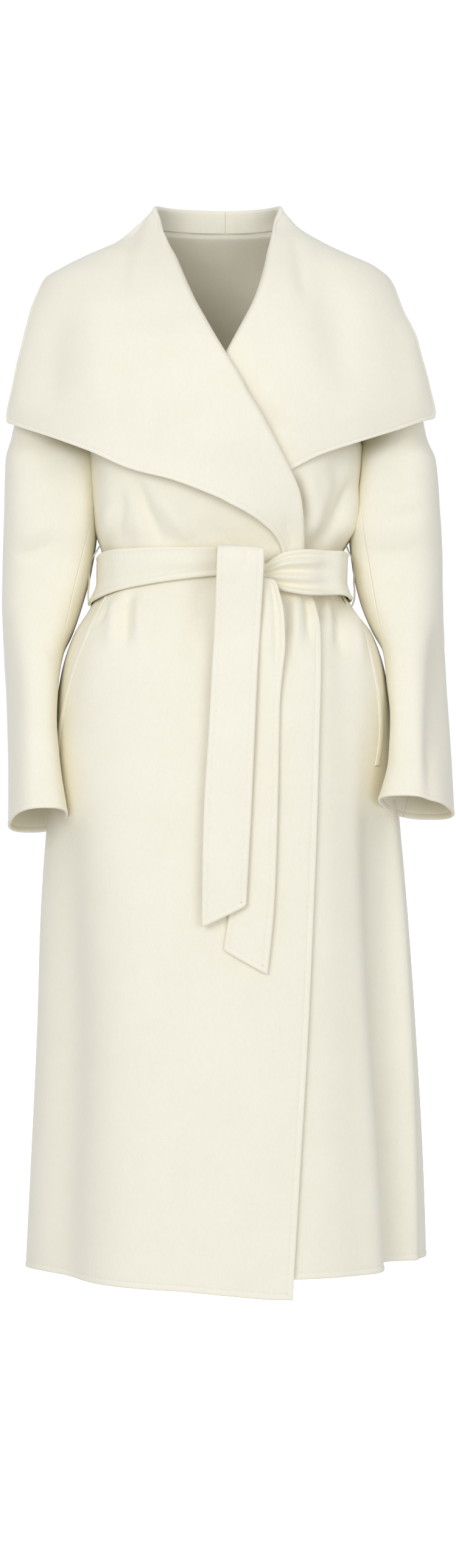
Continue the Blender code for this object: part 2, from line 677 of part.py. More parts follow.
def make_belt_round():
    """The stretch of the belt round the waist, narrowing into the tie."""
    first, last = BELT_STRETCH[0][0], BELT_STRETCH[-1][0]
    columns = round((first - last) / BELT_COLUMN_DEGREES) + 1
    angle = np.linspace(last, first, columns)[None, :]
    share = np.linspace(0.0, 1.0, BELT_ROWS + 1)[:, None]
    return cloth_piece("belt_round", belt_face(angle, share), BELT_CLOTH)


def make_belt_end(name, rows):
    """A hanging end of the belt with its slanted tip."""
    table = np.array(rows)
    share = np.linspace(0.0, 1.0, BELT_END_COLUMNS + 1)[None, :]
    across = table[:, 0:1] + (table[:, 1:2] - table[:, 0:1]) * share
    height = table[:, 3:4] + (table[:, 4:5] - table[:, 3:4]) * share
    back = -table[:, 2:3] + 0.0 * share
    grid = np.stack([across, back, height], axis=-1)
    return cloth_piece(name, grid[::-1], BELT_CLOTH)


def make_belt_knot():
    """The rounded bundle of gathered cloth inside the tie."""
    bpy.ops.mesh.primitive_uv_sphere_add(
        segments=KNOT_SEGMENTS, ring_count=KNOT_RINGS, radius=1.0, location=KNOT_CENTRE
    )
    knot = bpy.context.active_object
    knot.name = "belt_knot"
    knot.scale = KNOT_RADII
    bpy.ops.object.transform_apply(location=False, rotation=False, scale=True)
    knot.data.materials.append(wool_material("belt_knot_wool"))
    for owner in list(knot.users_collection):
        owner.objects.unlink(knot)
    bpy.data.collections[COLLECTION].objects.link(knot)
    return knot


def make_carrier(name, side):
    """The thin strap that holds the belt at a side seam."""
    path = np.array(CARRIER_PATH)[::-1]
    half = CARRIER_HALF_WIDTH_DEGREES
    angle = side * 90.0 + np.array([[-half, half]])
    grid = body_point(angle, path[:, 0:1] + 0.0 * angle, path[:, 1:2] + 0.0 * angle)
    return cloth_piece(name, grid, CARRIER_CLOTH)


def make_pocket_lip(name, side, angle_column, lift):
    """The narrow lip of a slanted side pocket, lying on the front."""
    line = np.array(POCKET_LINE)[::-1]
    angle = line[:, angle_column : angle_column + 1] + side * np.array([[0.0, POCKET_LIP_DEGREES]])
    if side < 0:
        angle = angle[:, ::-1]
    height = line[:, 0:1] + 0.0 * angle
    return cloth_piece(name, body_point(angle, height, POCKET_LIP_LIFT + lift(angle, height)), CARRIER_CLOTH)


# --- the coat -----------------------------------------------------------------------------------


def clear_scene():
    """Take away whatever the scene holds."""
    for item in list(bpy.data.objects):
        bpy.data.objects.remove(item, do_unlink=True)


def flat_lift(angle, height):
    """The left front lies on the body's form."""
    return np.zeros(np.broadcast(angle, height).shape)


def main():
    """Make every piece of the coat."""
    clear_scene()
    bpy.context.scene.collection.children.link(bpy.data.collections.new(COLLECTION))
    make_front("front_right", -1, 1, overlap_lift, 1)
    make_front("front_left", 1, 2, flat_lift, 2)
    make_back()
    make_collar("collar_right", -1, 1, LAPEL_RIGHT, NECK_RIGHT)
    make_collar("collar_left", 1, 2, LAPEL_LEFT, NECK_LEFT)
    for word, side, table in (("right", -1, SLEEVE_RIGHT), ("left", 1, SLEEVE_LEFT)):
        first, last = UNDER_SLEEVE
        make_sleeve_part(f"sleeve_{word}_top", side, table, last - 360.0, first)
        make_sleeve_part(f"sleeve_{word}_under", side, table, first, last)
        make_carrier(f"belt_loop_{word}", side)
    make_belt_round()
    make_belt_knot()
    make_belt_end("belt_end_front", BELT_END_FRONT)
    make_belt_end("belt_end_under", BELT_END_UNDER)
    make_pocket_lip("pocket_lip_right", -1, 1, overlap_lift)
    make_pocket_lip("pocket_lip_left", 1, 2, flat_lift)


main()
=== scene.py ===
"""A long wrap coat of thick double-faced wool, made round its solids as it hangs when worn.

Every panel is a shell through a grid of points. The grid lies on a form that is worked out from level
sections: a section's point is given by its angle round the body, 0 in the middle of the front, +90
degrees at the wearer's left side and 180 degrees in the middle of the back.
"""

import math

import bpy
import numpy as np
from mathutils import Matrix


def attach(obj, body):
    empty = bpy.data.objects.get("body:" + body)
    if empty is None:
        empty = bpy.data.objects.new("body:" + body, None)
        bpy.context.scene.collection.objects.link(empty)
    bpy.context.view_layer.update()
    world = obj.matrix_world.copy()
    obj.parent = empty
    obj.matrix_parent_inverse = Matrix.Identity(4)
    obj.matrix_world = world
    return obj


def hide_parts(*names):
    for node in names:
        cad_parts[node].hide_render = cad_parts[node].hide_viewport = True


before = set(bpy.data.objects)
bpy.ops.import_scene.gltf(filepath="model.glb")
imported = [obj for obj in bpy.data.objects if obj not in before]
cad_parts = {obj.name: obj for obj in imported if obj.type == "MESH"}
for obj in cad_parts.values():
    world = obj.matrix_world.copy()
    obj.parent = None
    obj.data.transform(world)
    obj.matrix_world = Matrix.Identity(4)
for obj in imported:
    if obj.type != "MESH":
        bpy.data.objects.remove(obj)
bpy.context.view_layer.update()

bl_info = {
    "name": "Wrap coat",
    "version": (1, 0, 0),
    "blender": (4, 5, 0),
    "location": "3D View > Sidebar > Coat",
    "description": "Makes a belted wrap coat of double-faced wool round its solids",
    "category": "Mesh",
}

# --- the form -----------------------------------------------------------------------------------

ARMHOLE_ACROSS = {-1: 0.160, 1: 0.152}
UNDERARM = -0.225
SHOULDER_TIP = -0.030
NECKLINE = 0.015
HEM = -1.190
HEM_TURN = -1.050
SEAM_GAP = 0.00005
SEAM_TURN = 0.01
SEAM_LAP = 0.0012
LAPEL_GAP = 0.0012
FOLD_DEPTH = 0.005
FOLD_START = 0.5
STAND_FOLD = 0.007
UP = np.array([0.0, 0.0, 1.0])
TINY = 1e-12
FAR = 1.0
MM_PER_METRE = 1000

# Rows and columns of points in each grid, besides those of its rims.
GRIDS = {
    "front": (205, 80),
    "back": (205, 96),
    "collar": (190, 62),
    "top_sleeve": (170, 76),
    "under_sleeve": (170, 26),
    "belt": (18, 300),
    "front_end": (150, 14),
    "under_end": (140, 14),
    "carrier": (60, 13),
    "lip": (120, 25),
    "tie": (28, 48),
}
SEAM_INSET = 4.0

# A rim, as shares of its width: how far it is level, how far it falls, and where the groove lies.
RIM_LEVEL = 0.5
RIM_FALL = 0.7
GROOVE_PLACE = 1.2

# How wide the groove is, and how far from a rim the UV map still tells the distance to it.
GROOVE_SPREAD = 0.0012
MARKED_TO = 0.05

# Columns of the tables after their first one: right and left wherever both sides have their own values.
# A form's sections go on with their depth in front and behind, and their roundness.
RIGHT, LEFT, FRONT, BACK, ROUNDNESS = range(1, 6)

# Level sections of the body.
BODY_SECTIONS = (
    (-1.190, 0.2290, 0.2320, 0.172, 0.168, 2.2),
    (-1.050, 0.2220, 0.2270, 0.165, 0.162, 2.2),
    (-0.910, 0.2155, 0.2190, 0.160, 0.157, 2.2),
    (-0.770, 0.2110, 0.2090, 0.156, 0.153, 2.3),
    (-0.660, 0.2030, 0.1990, 0.153, 0.151, 2.45),
    (-0.570, 0.1965, 0.1925, 0.148, 0.146, 2.55),
    (-0.500, 0.1870, 0.1825, 0.139, 0.134, 2.8),
    (-0.455, 0.1725, 0.1675, 0.127, 0.119, 2.9),
    (-0.425, 0.1540, 0.1450, 0.114, 0.106, 2.9),
    (-0.395, 0.1400, 0.1315, 0.106, 0.098, 2.7),
    (-0.365, 0.1405, 0.1335, 0.106, 0.098, 2.8),
    (-0.335, 0.1500, 0.1490, 0.114, 0.101, 3.0),
    (-0.308, 0.1540, 0.1530, 0.121, 0.104, 3.0),
    (-0.285, 0.1560, 0.1560, 0.126, 0.107, 2.9),
    (-0.246, 0.1590, 0.1585, 0.133, 0.112, 2.5),
    (-0.225, 0.1600, 0.1520, 0.134, 0.116, 2.2),
    (-0.176, 0.1690, 0.1640, 0.131, 0.121, 2.2),
    (-0.128, 0.1750, 0.1680, 0.118, 0.121, 2.2),
    (-0.079, 0.1720, 0.1650, 0.095, 0.111, 2.2),
    (-0.030, 0.1600, 0.1520, 0.058, 0.096, 2.2),
    (-0.015, 0.1320, 0.1180, 0.048, 0.088, 2.2),
    (0.000, 0.1070, 0.0930, 0.036, 0.078, 2.2),
    (0.015, 0.0890, 0.0710, 0.020, 0.066, 2.2),
)

# The form that the collar and lapels lie on: shoulders and upper arms together.
COLLAR_SECTIONS = (
    (-0.400, 0.1700, 0.1650, 0.115, 0.110, 2.1),
    (-0.365, 0.1800, 0.1750, 0.117, 0.110, 2.0),
    (-0.335, 0.2050, 0.2000, 0.124, 0.110, 1.9),
    (-0.308, 0.2300, 0.2250, 0.131, 0.115, 1.8),
    (-0.285, 0.2450, 0.2400, 0.136, 0.120, 1.8),
    (-0.240, 0.2500, 0.2430, 0.143, 0.128, 1.9),
    (-0.206, 0.2480, 0.2416, 0.144, 0.132, 2.0),
    (-0.177, 0.2410, 0.2340, 0.140, 0.133, 2.0),
    (-0.144, 0.2346, 0.2240, 0.134, 0.133, 2.0),
    (-0.108, 0.2290, 0.2140, 0.120, 0.131, 2.1),
    (-0.084, 0.2240, 0.2050, 0.108, 0.127, 2.2),
    (-0.064, 0.2160, 0.1980, 0.096, 0.121, 2.2),
    (-0.047, 0.2050, 0.1870, 0.083, 0.119, 2.2),
    (-0.034, 0.1840, 0.1710, 0.072, 0.114, 2.2),
    (-0.021, 0.1580, 0.1430, 0.061, 0.107, 2.2),
    (-0.006, 0.1250, 0.1120, 0.048, 0.091, 2.2),
    (0.011, 0.1040, 0.0840, 0.030, 0.081, 2.2),
    (0.024, 0.0900, 0.0720, 0.018, 0.074, 2.2),
    (0.038, 0.0770, 0.0600, 0.012, 0.070, 2.2),
)

# Opening edges: height, how far across the right front's edge and the left front's edge lie.
OPENING_EDGES = (
    (-1.190, 0.0755, -0.0800),
    (-1.050, 0.0840, -0.0830),
    (-0.910, 0.0925, -0.0850),
    (-0.770, 0.0990, -0.0850),
    (-0.660, 0.1035, -0.0850),
    (-0.570, 0.1060, -0.0850),
    (-0.500, 0.1080, -0.0850),
    (-0.455, 0.1085, -0.0850),
    (-0.425, 0.1040, -0.0850),
    (-0.395, 0.0900, -0.0850),
    (-0.365, 0.0845, -0.0845),
    (-0.335, 0.0820, -0.0822),
    (-0.308, 0.0789, -0.0790),
    (-0.285, 0.0705, -0.0710),
    (-0.246, 0.0504, -0.0520),
    (-0.217, 0.0350, -0.0370),
    (-0.190, 0.0180, -0.0200),
    (-0.153, -0.0005, 0.0050),
    (-0.129, -0.0165, 0.0160),
    (-0.082, -0.0410, 0.0392),
    (-0.035, -0.0601, 0.0520),
    (0.000, -0.0744, 0.0575),
    (0.018, -0.0776, 0.0600),
)

# How far the right front and the right lapel stand off their forms: height, front, lapel.
OVERLAP_LIFTS = (
    (-1.190, 0.0060, 0.000),
    (-0.455, 0.0060, 0.000),
    (-0.425, 0.0105, 0.0060),
    (-0.365, 0.0105, 0.0060),
    (-0.308, 0.0125, 0.0110),
    (-0.176, 0.0125, 0.0120),
    (-0.128, 0.0085, 0.010),
    (-0.100, 0.0030, 0.005),
    (-0.079, 0.0000, 0.003),
    (-0.040, 0.0000, 0.000),
    (0.040, 0.0000, 0.000),
)
FRONT_RISE = (70.0, 30.0)
LAPEL_RISE = (80.0, 50.0)
RISEN_ANGLE = -20.0

# How far the right lapel's free edge curls up from the front: edge height, curl.
LAPEL_CURL = (
    (-0.3980, 0.0),
    (-0.3685, 0.001),
    (-0.3480, 0.005),
    (-0.3200, 0.011),
    (-0.2880, 0.012),
    (-0.2529, 0.009),
    (-0.2213, 0.003),
    (-0.0400, 0.0),
)

# Hem heights: angle round the body, right front, left front, back.
HEM_BACK = 3
HEM_LINE = (
    (-90.0, -1.1755, -1.1690, -1.1755),
    (-72.0, -1.1725, -1.1690, -1.1755),
    (-45.0, -1.1755, -1.1690, -1.1755),
    (-12.0, -1.1800, -1.1690, -1.1755),
    (16.0, -1.1905, -1.1690, -1.1755),
    (40.0, -1.1905, -1.1690, -1.1755),
    (57.0, -1.1905, -1.1675, -1.1700),
    (63.0, -1.1905, -1.1640, -1.1650),
    (90.0, -1.1905, -1.1645, -1.1645),
    (180.0, -1.1905, -1.1645, -1.1740),
    (270.0, -1.1905, -1.1645, -1.1755),
)

# Large soft folds: angle at the top and at the bottom, top and bottom height, rise, half width.
BODY_FOLDS = (
    (53.0, 61.5, -0.520, -1.250, -0.0195, 9.5),
    (66.0, 71.0, -0.520, -1.250, -0.0245, 11.5),
    (78.0, 76.0, -0.600, -1.250, 0.0110, 3.5),
    (-56.5, -53.0, -0.600, -1.250, -0.0185, 15.0),
    (-30.0, -22.0, -0.520, -1.250, 0.0040, 13.0),
    (120.0, 114.0, -0.480, -1.250, 0.0085, 11.0),
    (142.0, 138.0, -0.500, -1.250, -0.0090, 9.0),
    (172.0, 176.0, -0.460, -1.250, 0.0095, 10.0),
    (214.0, 210.0, -0.480, -1.250, -0.0085, 9.0),
    (238.0, 244.0, -0.500, -1.250, 0.0070, 11.0),
    (52.0, 40.0, -0.220, -0.370, -0.0050, 9.0),
)
FOLD_FULL = 0.5

# Stations of the collar from the belt up: the height where it leaves the front, then its free edge's
# angle and height. Behind the neck, on the left: the fold's height and angle, then the free edge's.
LAPEL_HEIGHTS = (
    *(-0.395, -0.365, -0.335, -0.308, -0.285, -0.246, -0.225, -0.2119),
    *(-0.195, -0.17625, -0.1275, -0.07875, -0.0431, -0.030, -0.015, 0.0, 0.015),
)
LAPEL_RIGHT = (
    (21.3, -0.3980),
    (20.6, -0.3685),
    (17.2, -0.3495),
    (12.9, -0.3365),
    (7.4, -0.3225),
    (-5.0, -0.3030),
    (-14.7, -0.2880),
    (-25.0, -0.2757),
    (-37.0, -0.2529),
    (-51.0, -0.2352),
    (-67.0, -0.2207),
    (-73.3, -0.2150),
    (-74.0, -0.2040),
    (-74.0, -0.160),
    (-73.5, -0.108),
    (-78.0, -0.066),
    (-92.0, -0.042),
)
LAPEL_LEFT = (
    (-24.0, -0.3980),
    (-22.0, -0.3685),
    (-18.0, -0.3480),
    (-11.0, -0.3320),
    (0.0, -0.3140),
    (10.0, -0.2940),
    (19.0, -0.2790),
    (28.0, -0.2600),
    (39.0, -0.2448),
    (51.0, -0.2311),
    (65.5, -0.2163),
    (73.0, -0.2105),
    (74.0, -0.1995),
    (74.0, -0.155),
    (73.5, -0.105),
    (78.0, -0.065),
    (92.0, -0.042),
)
NECK = (
    (0.028, 76.0, 107.0, -0.050),
    (0.033, 100.0, 123.0, -0.068),
    (0.035, 126.0, 141.0, -0.088),
    (0.036, 153.0, 160.0, -0.100),
    (0.036, 178.0, 178.5, -0.106),
    (0.036, 179.99, 179.99, -0.106),
)
ARM_FLARE = 0.0068
FLARE_ANGLE = (45.0, 32.0)
FLARE_HEIGHT = (-0.055, 0.070)
FOLD_POINTS = 12
FALL_SLACK = 1.08
STATION_APART = 0.002
PLACE_DIGITS = 5

# A station's columns part here: seam, inner point, outward direction, fold, free edge.
STATION_PARTS = (3, 6, 9, 11)
PRESS_WIDTH = 0.040
PRESSED_LIFT = 0.0045
PRESSED_TO = 75.0

# Sleeve caps: turn from upright in degrees, reach from the underarm, half depth.
CAP_RINGS = (
    (0.0, 0.1950, 0.0600),
    (3.0, 0.1897, 0.0620),
    (12.0, 0.1640, 0.0610),
    (25.0, 0.1230, 0.0590),
    (50.0, 0.0810, 0.0570),
    (75.0, 0.0705, 0.0570),
    (90.0, 0.0715, 0.0580),
)
UNDERARM_FOLD = 0.0035
CAP_WIDER = {-1: 0.13, 1: 0.04}
CAP_SETTLE = 40.0

# Sleeves: height, out, forward, half width, half depth, turned and risen in degrees.
SLEEVE_RIGHT = (
    (-0.257, 0.1985, 0.005, 0.0520, 0.0640, 0.0, 0.0),
    (-0.295, 0.1986, 0.006, 0.0530, 0.0690, 0.0, 0.0),
    (-0.335, 0.1996, 0.003, 0.0532, 0.0690, 0.0, 0.0),
    (-0.380, 0.2037, -0.004, 0.0510, 0.0670, 1.0, 2.0),
    (-0.420, 0.2092, 0.000, 0.0462, 0.0660, 3.0, 5.0),
    (-0.453, 0.2134, 0.008, 0.0399, 0.0650, 6.0, 8.0),
    (-0.482, 0.2180, 0.018, 0.0324, 0.0640, 9.0, 10.0),
    (-0.515, 0.2189, 0.030, 0.0278, 0.0620, 11.0, 11.0),
    (-0.555, 0.2186, 0.045, 0.0254, 0.0600, 12.0, 12.0),
    (-0.608, 0.2152, 0.062, 0.0269, 0.0580, 12.0, 13.0),
    (-0.666, 0.2100, 0.078, 0.0316, 0.0570, 12.0, 15.0),
)
SLEEVE_LEFT = (
    (-0.257, 0.1960, 0.005, 0.0440, 0.0640, 0.0, 0.0),
    (-0.295, 0.1963, 0.006, 0.0473, 0.0690, 0.0, 0.0),
    (-0.335, 0.1938, 0.003, 0.0526, 0.0690, 0.0, 0.0),
    (-0.380, 0.1972, -0.004, 0.0515, 0.0670, 2.0, 2.0),
    (-0.420, 0.2020, 0.000, 0.0469, 0.0660, 6.0, 5.0),
    (-0.453, 0.2086, 0.008, 0.0399, 0.0640, 11.0, 8.0),
    (-0.482, 0.2153, 0.018, 0.0319, 0.0620, 15.0, 10.0),
    (-0.515, 0.2175, 0.030, 0.0294, 0.0600, 18.0, 11.0),
    (-0.555, 0.2202, 0.045, 0.0276, 0.0580, 20.0, 12.0),
    (-0.605, 0.2199, 0.060, 0.0309, 0.0560, 20.0, 13.0),
    (-0.652, 0.2145, 0.073, 0.0391, 0.0550, 20.0, 15.0),
)
SLEEVE_ROUNDNESS = 2.6
ARM_RADIUS = 0.055
DEGREES_IN_RADIAN = 57.3

# Roundness of a sleeve's inner front quarter, which lies flat beside the body: height, roundness.
INNER_ROUNDNESS = (
    (-0.670, 2.6),
    (-0.480, 2.6),
    (-0.420, 3.4),
    (-0.360, 4.2),
    (-0.295, 4.4),
    (-0.225, 3.8),
)
UNDER_SLEEVE_BACK = 225.0

# Angle round the arm of the seam in front: height, right sleeve, left sleeve.
SLEEVE_SEAM = (
    (-0.225, 166.0, 166.0),
    (-0.257, 168.0, 168.0),
    (-0.295, 162.0, 153.0),
    (-0.335, 139.0, 122.0),
    (-0.380, 125.0, 114.0),
    (-0.420, 125.0, 114.0),
    (-0.453, 128.0, 120.0),
    (-0.482, 137.0, 137.0),
    (-0.515, 144.0, 146.0),
    (-0.670, 146.0, 146.0),
)
CAP_SEAM = 140.0

# The belt round the waist: angle, top height, bottom height, stand-off of its outer face.
BELT_STRETCH = (
    (-0.5, -0.3625, -0.3935, 0.0190),
    (-20.0, -0.3620, -0.4000, 0.0175),
    (-42.0, -0.3625, -0.4080, 0.0170),
    (-55.0, -0.3633, -0.4125, 0.0130),
    (-70.0, -0.3645, -0.4165, 0.0080),
    (-90.0, -0.3674, -0.4203, 0.0060),
    (-180.0, -0.3660, -0.4190, 0.0060),
    (-270.0, -0.3638, -0.4155, 0.0060),
    (-290.0, -0.3640, -0.4152, 0.0110),
    (-302.0, -0.3642, -0.4142, 0.0190),
    (-312.0, -0.3645, -0.4130, 0.0255),
    (-327.0, -0.3660, -0.4132, 0.0270),
    (-333.0, -0.3667, -0.4130, 0.0265),
    (-341.5, -0.3700, -0.4100, 0.0250),
    (-345.9, -0.3765, -0.4060, 0.0240),
    (-349.0, -0.3830, -0.4020, 0.0235),
    (-353.0, -0.3845, -0.4000, 0.0230),
)

# Belt ends from the tie down: right edge, left edge, forward, height of right and of left edge.
BELT_END_FRONT = (
    (-0.0050, 0.0400, 0.1335, -0.3830, -0.3845),
    (-0.0072, 0.0420, 0.1345, -0.3680, -0.3695),
    (-0.0080, 0.0427, 0.1440, -0.3598, -0.3622),
    (-0.0088, 0.0432, 0.1570, -0.3625, -0.3655),
    (-0.0095, 0.0430, 0.1620, -0.3760, -0.3785),
    (-0.0105, 0.0415, 0.1600, -0.4100, -0.4100),
    (-0.0126, 0.0385, 0.1570, -0.4600, -0.4600),
    (-0.0150, 0.0360, 0.1630, -0.5000, -0.5000),
    (-0.0186, 0.0328, 0.1700, -0.5700, -0.5700),
    (-0.0240, 0.0288, 0.1740, -0.6600, -0.6600),
    (-0.0255, 0.0255, 0.1760, -0.7250, -0.7200),
    (-0.0260, 0.0235, 0.1770, -0.7828, -0.7588),
)
BELT_END_UNDER = (
    (0.0240, 0.0560, 0.1440, -0.3960, -0.3960),
    (0.0240, 0.0592, 0.1465, -0.4080, -0.4080),
    (0.0220, 0.0630, 0.1480, -0.4230, -0.4230),
    (0.0190, 0.0658, 0.1485, -0.4420, -0.4420),
    (0.0165, 0.0668, 0.1500, -0.4700, -0.4700),
    (0.0150, 0.0638, 0.1530, -0.5000, -0.5000),
    (0.0120, 0.0605, 0.1570, -0.5400, -0.5400),
    (0.0100, 0.0597, 0.1600, -0.5800, -0.5800),
    (0.0085, 0.0580, 0.1650, -0.6600, -0.6600),
    (0.0045, 0.0545, 0.1675, -0.7550, -0.7550),
    (-0.0020, 0.0470, 0.1690, -0.8078, -0.8352),
)
CORNER_DROOP = 0.0040
DROOP_FADE = (0.05, 0.04)
CORNER_LIFT = 0.0022
LIFT_REACH = 0.012
END_CROWN = 0.0012
KNOT_CENTRE = (0.018, -0.1455, -0.3760)
KNOT_RADII = (0.019, 0.0070, 0.0150)

# The tie's gathers: height, how many lie round it, and how far they wind.
KNOT_WAVE = (0.09, 6.0, 1.5)

# Pleats of the belt beside the tie: turn, angle of their start, reach, depth, number, phase.
BELT_WIDTH = 0.050
BELT_RIM = 0.8
BELT_CROWN = 0.0010
BELT_PLEATS = (
    (-1, -312.0, 28.0, 0.0046, 2.6, 0.1),
    (1, -42.0, 34.0, 0.0018, 1.5, 0.2),
)

# Carriers: height, stand-off. Pockets: height, angle of the lip on the right and on the left front.
CARRIER_PATH = (
    (-0.3540, 0.0012),
    (-0.3600, 0.0068),
    (-0.3700, 0.0135),
    (-0.3850, 0.0168),
    (-0.4000, 0.0162),
    (-0.4130, 0.0108),
    (-0.4200, 0.0050),
    (-0.4240, 0.0008),
)
CARRIER_ANGLE = 82.0
CARRIER_HALF = 0.80
CARRIER_BULK = 1.6
POCKET_LINE = (
    (-0.412, -53.6, 70.2),
    (-0.425, -53.6, 68.0),
    (-0.455, -53.6, 62.4),
    (-0.500, -58.4, 60.8),
    (-0.570, -67.4, 64.8),
    (-0.605, -67.7, 62.4),
)
POCKET_LIP_DEGREES = 4.2
POCKET_LIP_LIFT = 0.0007
POCKET_LIP_CROWN = 0.0008

# --- creases ------------------------------------------------------------------------------------

# Each crease is a soft trough or ridge along a curve through three points, seen from in front: across
# and height of the points, rise (a trough is negative) and half width, all in millimetres.
CREASES_FRONT_RIGHT = (
    (-103, -268, -91, -310, -66, -356, -7.5, 8),
    (-82, -289, -58, -320, -33, -356, 5.2, 10),
    (-115, -282, -121, -320, -125, -361, -4.6, 7),
    (-138, -299, -135, -334, -138, -366, 4.0, 7),
    (-98, -317, -98, -341, -95, -361, 3.2, 7),
    (-28, -320, -7, -341, 22, -359, -2.5, 11),
    (-134, -414, -139, -428, -146, -446, -4.0, 3),
    (-113, -405, -113, -434, -116, -476, -8.4, 7),
    (-125, -407, -128, -435, -134, -478, 4.4, 7),
    (-100, -407, -100, -435, -98, -477, 3.4, 7),
    (-88, -404, -86, -425, -83, -459, -2.6, 7),
    (-26, -390, -31, -432, -43, -508, -4.8, 11),
    (91, -400, 95, -427, 97, -470, -6.6, 4),
    (79, -400, 81, -434, 81, -480, 5.0, 7),
    (70, -407, 70, -432, 72, -477, -3.2, 4),
)
CREASES_FRONT_LEFT = (
    (79, -265, 82, -296, 92, -334, -8.1, 7),
    (97, -265, 102, -306, 102, -356, 3.2, 8),
    (150, -268, 131, -313, 110, -354, -8.4, 8),
    (158, -278, 147, -318, 137, -358, 5.0, 8),
    (122, -262, 113, -300, 95, -344, 3.6, 8),
    (160, -251, 155, -299, 150, -348, -2.0, 3),
    (112, -405, 119, -432, 125, -470, 4.0, 7),
    (129, -403, 129, -434, 133, -482, -8.8, 7),
    (141, -411, 150, -446, 160, -491, 4.4, 6),
    (105, -405, 109, -421, 111, -446, -4.4, 3),
)
CREASES_BACK = (
    (-60, -120, -52, -200, -66, -338, -4.6, 15),
    (-20, -150, -8, -240, -4, -356, 3.2, 14),
    (48, -130, 44, -230, 62, -350, -4.2, 13),
    (104, -180, 96, -260, 84, -356, 3.4, 11),
    (-112, -170, -104, -260, -96, -356, 3.0, 10),
    (-92, -420, -98, -450, -104, -520, -5.2, 8),
    (-66, -420, -70, -446, -72, -512, 3.6, 8),
    (-28, -420, -27, -460, -30, -556, -4.4, 9),
    (8, -420, 9, -450, 14, -528, 3.0, 9),
    (44, -420, 47, -455, 54, -545, -5.0, 8),
    (78, -420, 84, -450, 92, -512, 3.8, 8),
    (106, -420, 114, -446, 126, -500, -4.2, 7),
)
CREASES_COLLAR_RIGHT = (
    (-84, 30, -112, -8, -118, -84, -5.0, 10),
    (-74, 3, -74, -42, -74, -97, 1.6, 10),
    (-186, -70, -200, -139, -204, -212, -4.5, 18),
    (-150, -42, -150, -118, -146, -224, 3.5, 20),
    (-232, -112, -236, -160, -240, -212, 2.2, 10),
    (-79, -160, -84, -216, -88, -268, -1.3, 10),
    (68, -313, 74, -341, 77, -366, -2.0, 6),
)
CREASES_COLLAR_LEFT = (
    (76, 12, 86, -30, 94, -84, -3.0, 9),
    (80, 6, 124, -85, 143, -212, -7.5, 26),
    (206, -84, 218, -140, 228, -208, 2.8, 13),
)
CREASES_SLEEVE_RIGHT = (
    (-247, -363, -216, -359, -185, -336, -2.8, 7),
    (-247, -345, -214, -334, -181, -313, 1.6, 8),
    (-251, -418, -223, -408, -191, -386, -1.4, 8),
    (-209, -461, -198, -475, -188, -486, -1.6, 6),
    (-244, -498, -216, -487, -191, -501, 0.9, 8),
)
CREASES_SLEEVE_LEFT = (
    (160, -282, 188, -294, 226, -284, -1.7, 7),
    (171, -324, 202, -319, 235, -305, -1.4, 6),
    (164, -355, 195, -360, 233, -345, -1.2, 6),
    (252, -430, 243, -530, 235, -690, -11.0, 11),
)
CREASES_END_FRONT = (
    (24, -352, 25, -362, 24, -384, -2.0, 4),
    (6, -380, 4, -470, -2, -560, 0.6, 7),
)
CREASES_END_UNDER = (
    (44, -385, 57, -420, 57, -520, -2.6, 3),
    (54, -388, 66, -420, 66, -520, 1.6, 4),
    (42, -395, 48, -430, 49, -520, 1.6, 5),
)
CREASE_SAMPLES = 16
CREASE_FADE = 0.35
FACING_FADE = 0.35

# --- wool ---------------------------------------------------------------------------------------

# Noises of the wool's grain: scale, detail, stretch.
GRAIN = {
    "fibre": (900.0, 3.0, (1.0, 1.0, 1.0)),
    "nap": (420.0, 2.0, (1.0, 1.0, 0.32)),
    "felt": (150.0, 2.0, (1.0, 1.0, 0.6)),
    "cloud": (22.0, 2.0, (1.0, 1.0, 1.0)),
}
GRAIN_ROUGHNESS = 0.55

# The mix node names several sockets alike, so they are told by number.
MIX_FACTOR = 0
MIX_NUMBERS = (2, 3)
MIX_COLOURS = (6, 7)
MIXED_NUMBER = 0
MIXED_COLOUR = 2

# How much each grain counts in the bump and in the colour, and how much a stitch and its line take off: a
# stitch sinks the bump, and both darken the colour as painted shade in the groove.
BUMP = {"fibre": 0.42, "nap": 0.36, "felt": 0.22, "stitch": 0.5}
BUMP_STRENGTH = 0.55
BUMP_DEPTH = 0.00075
TONE = {"cloud": 0.45, "nap": 0.5, "fibre": 0.5, "middle": 0.6, "stitch": 0.12, "line": 0.08}
ROUGHNESS = (0.16, 0.86)
WOOL_SURFACE = {
    "Specular IOR Level": 0.22,
    "Sheen Weight": 0.22,
    "Sheen Roughness": 0.45,
    "Sheen Tint": (1.0, 0.98, 0.92, 1.0),
}
STITCH_SPREAD = 0.0009
STITCH_SHARPNESS = 3.0
LEAST_POWER = -20.0

# --- light and view -----------------------------------------------------------------------------

VIEW_DISTANCE = 4.0
VIEW_CENTRE = (0.0031, -0.625)
VIEW_TALL = 1.7934
SENSOR = 36.0
COOL_WHITE = (0.961, 1.0, 1.115, 1.0)
FLOOR_HALF = 30.0
FLOOR_SURFACE = {"Roughness": 0.9, "Emission Strength": 1.0}
LIT_POINT = (0.0, 0.0, -0.60)

# Soft boxes that face the lit point: name, place, width, height, power.
LIGHTS = (
    ("key_light", (-1.7, -4.5, 0.7), 2.2, 2.2, 78.5),
    ("fill_light", (2.2, -4.4, -0.3), 2.4, 3.0, 47.0),
    ("top_light", (0.0, -1.2, 2.4), 2.0, 1.6, 4.0),
)

# The surroundings: the way in which they grow brighter, how bright they are, and as seen by the eye.
SKY_TOWARDS = (-0.12, 0.99, 0.0)
SKY_RANGE = {"From Min": 0.25, "To Min": 0.575, "To Max": 0.75}
SKY_SEEN = 1.05

# --- cut and rims -------------------------------------------------------------------------------

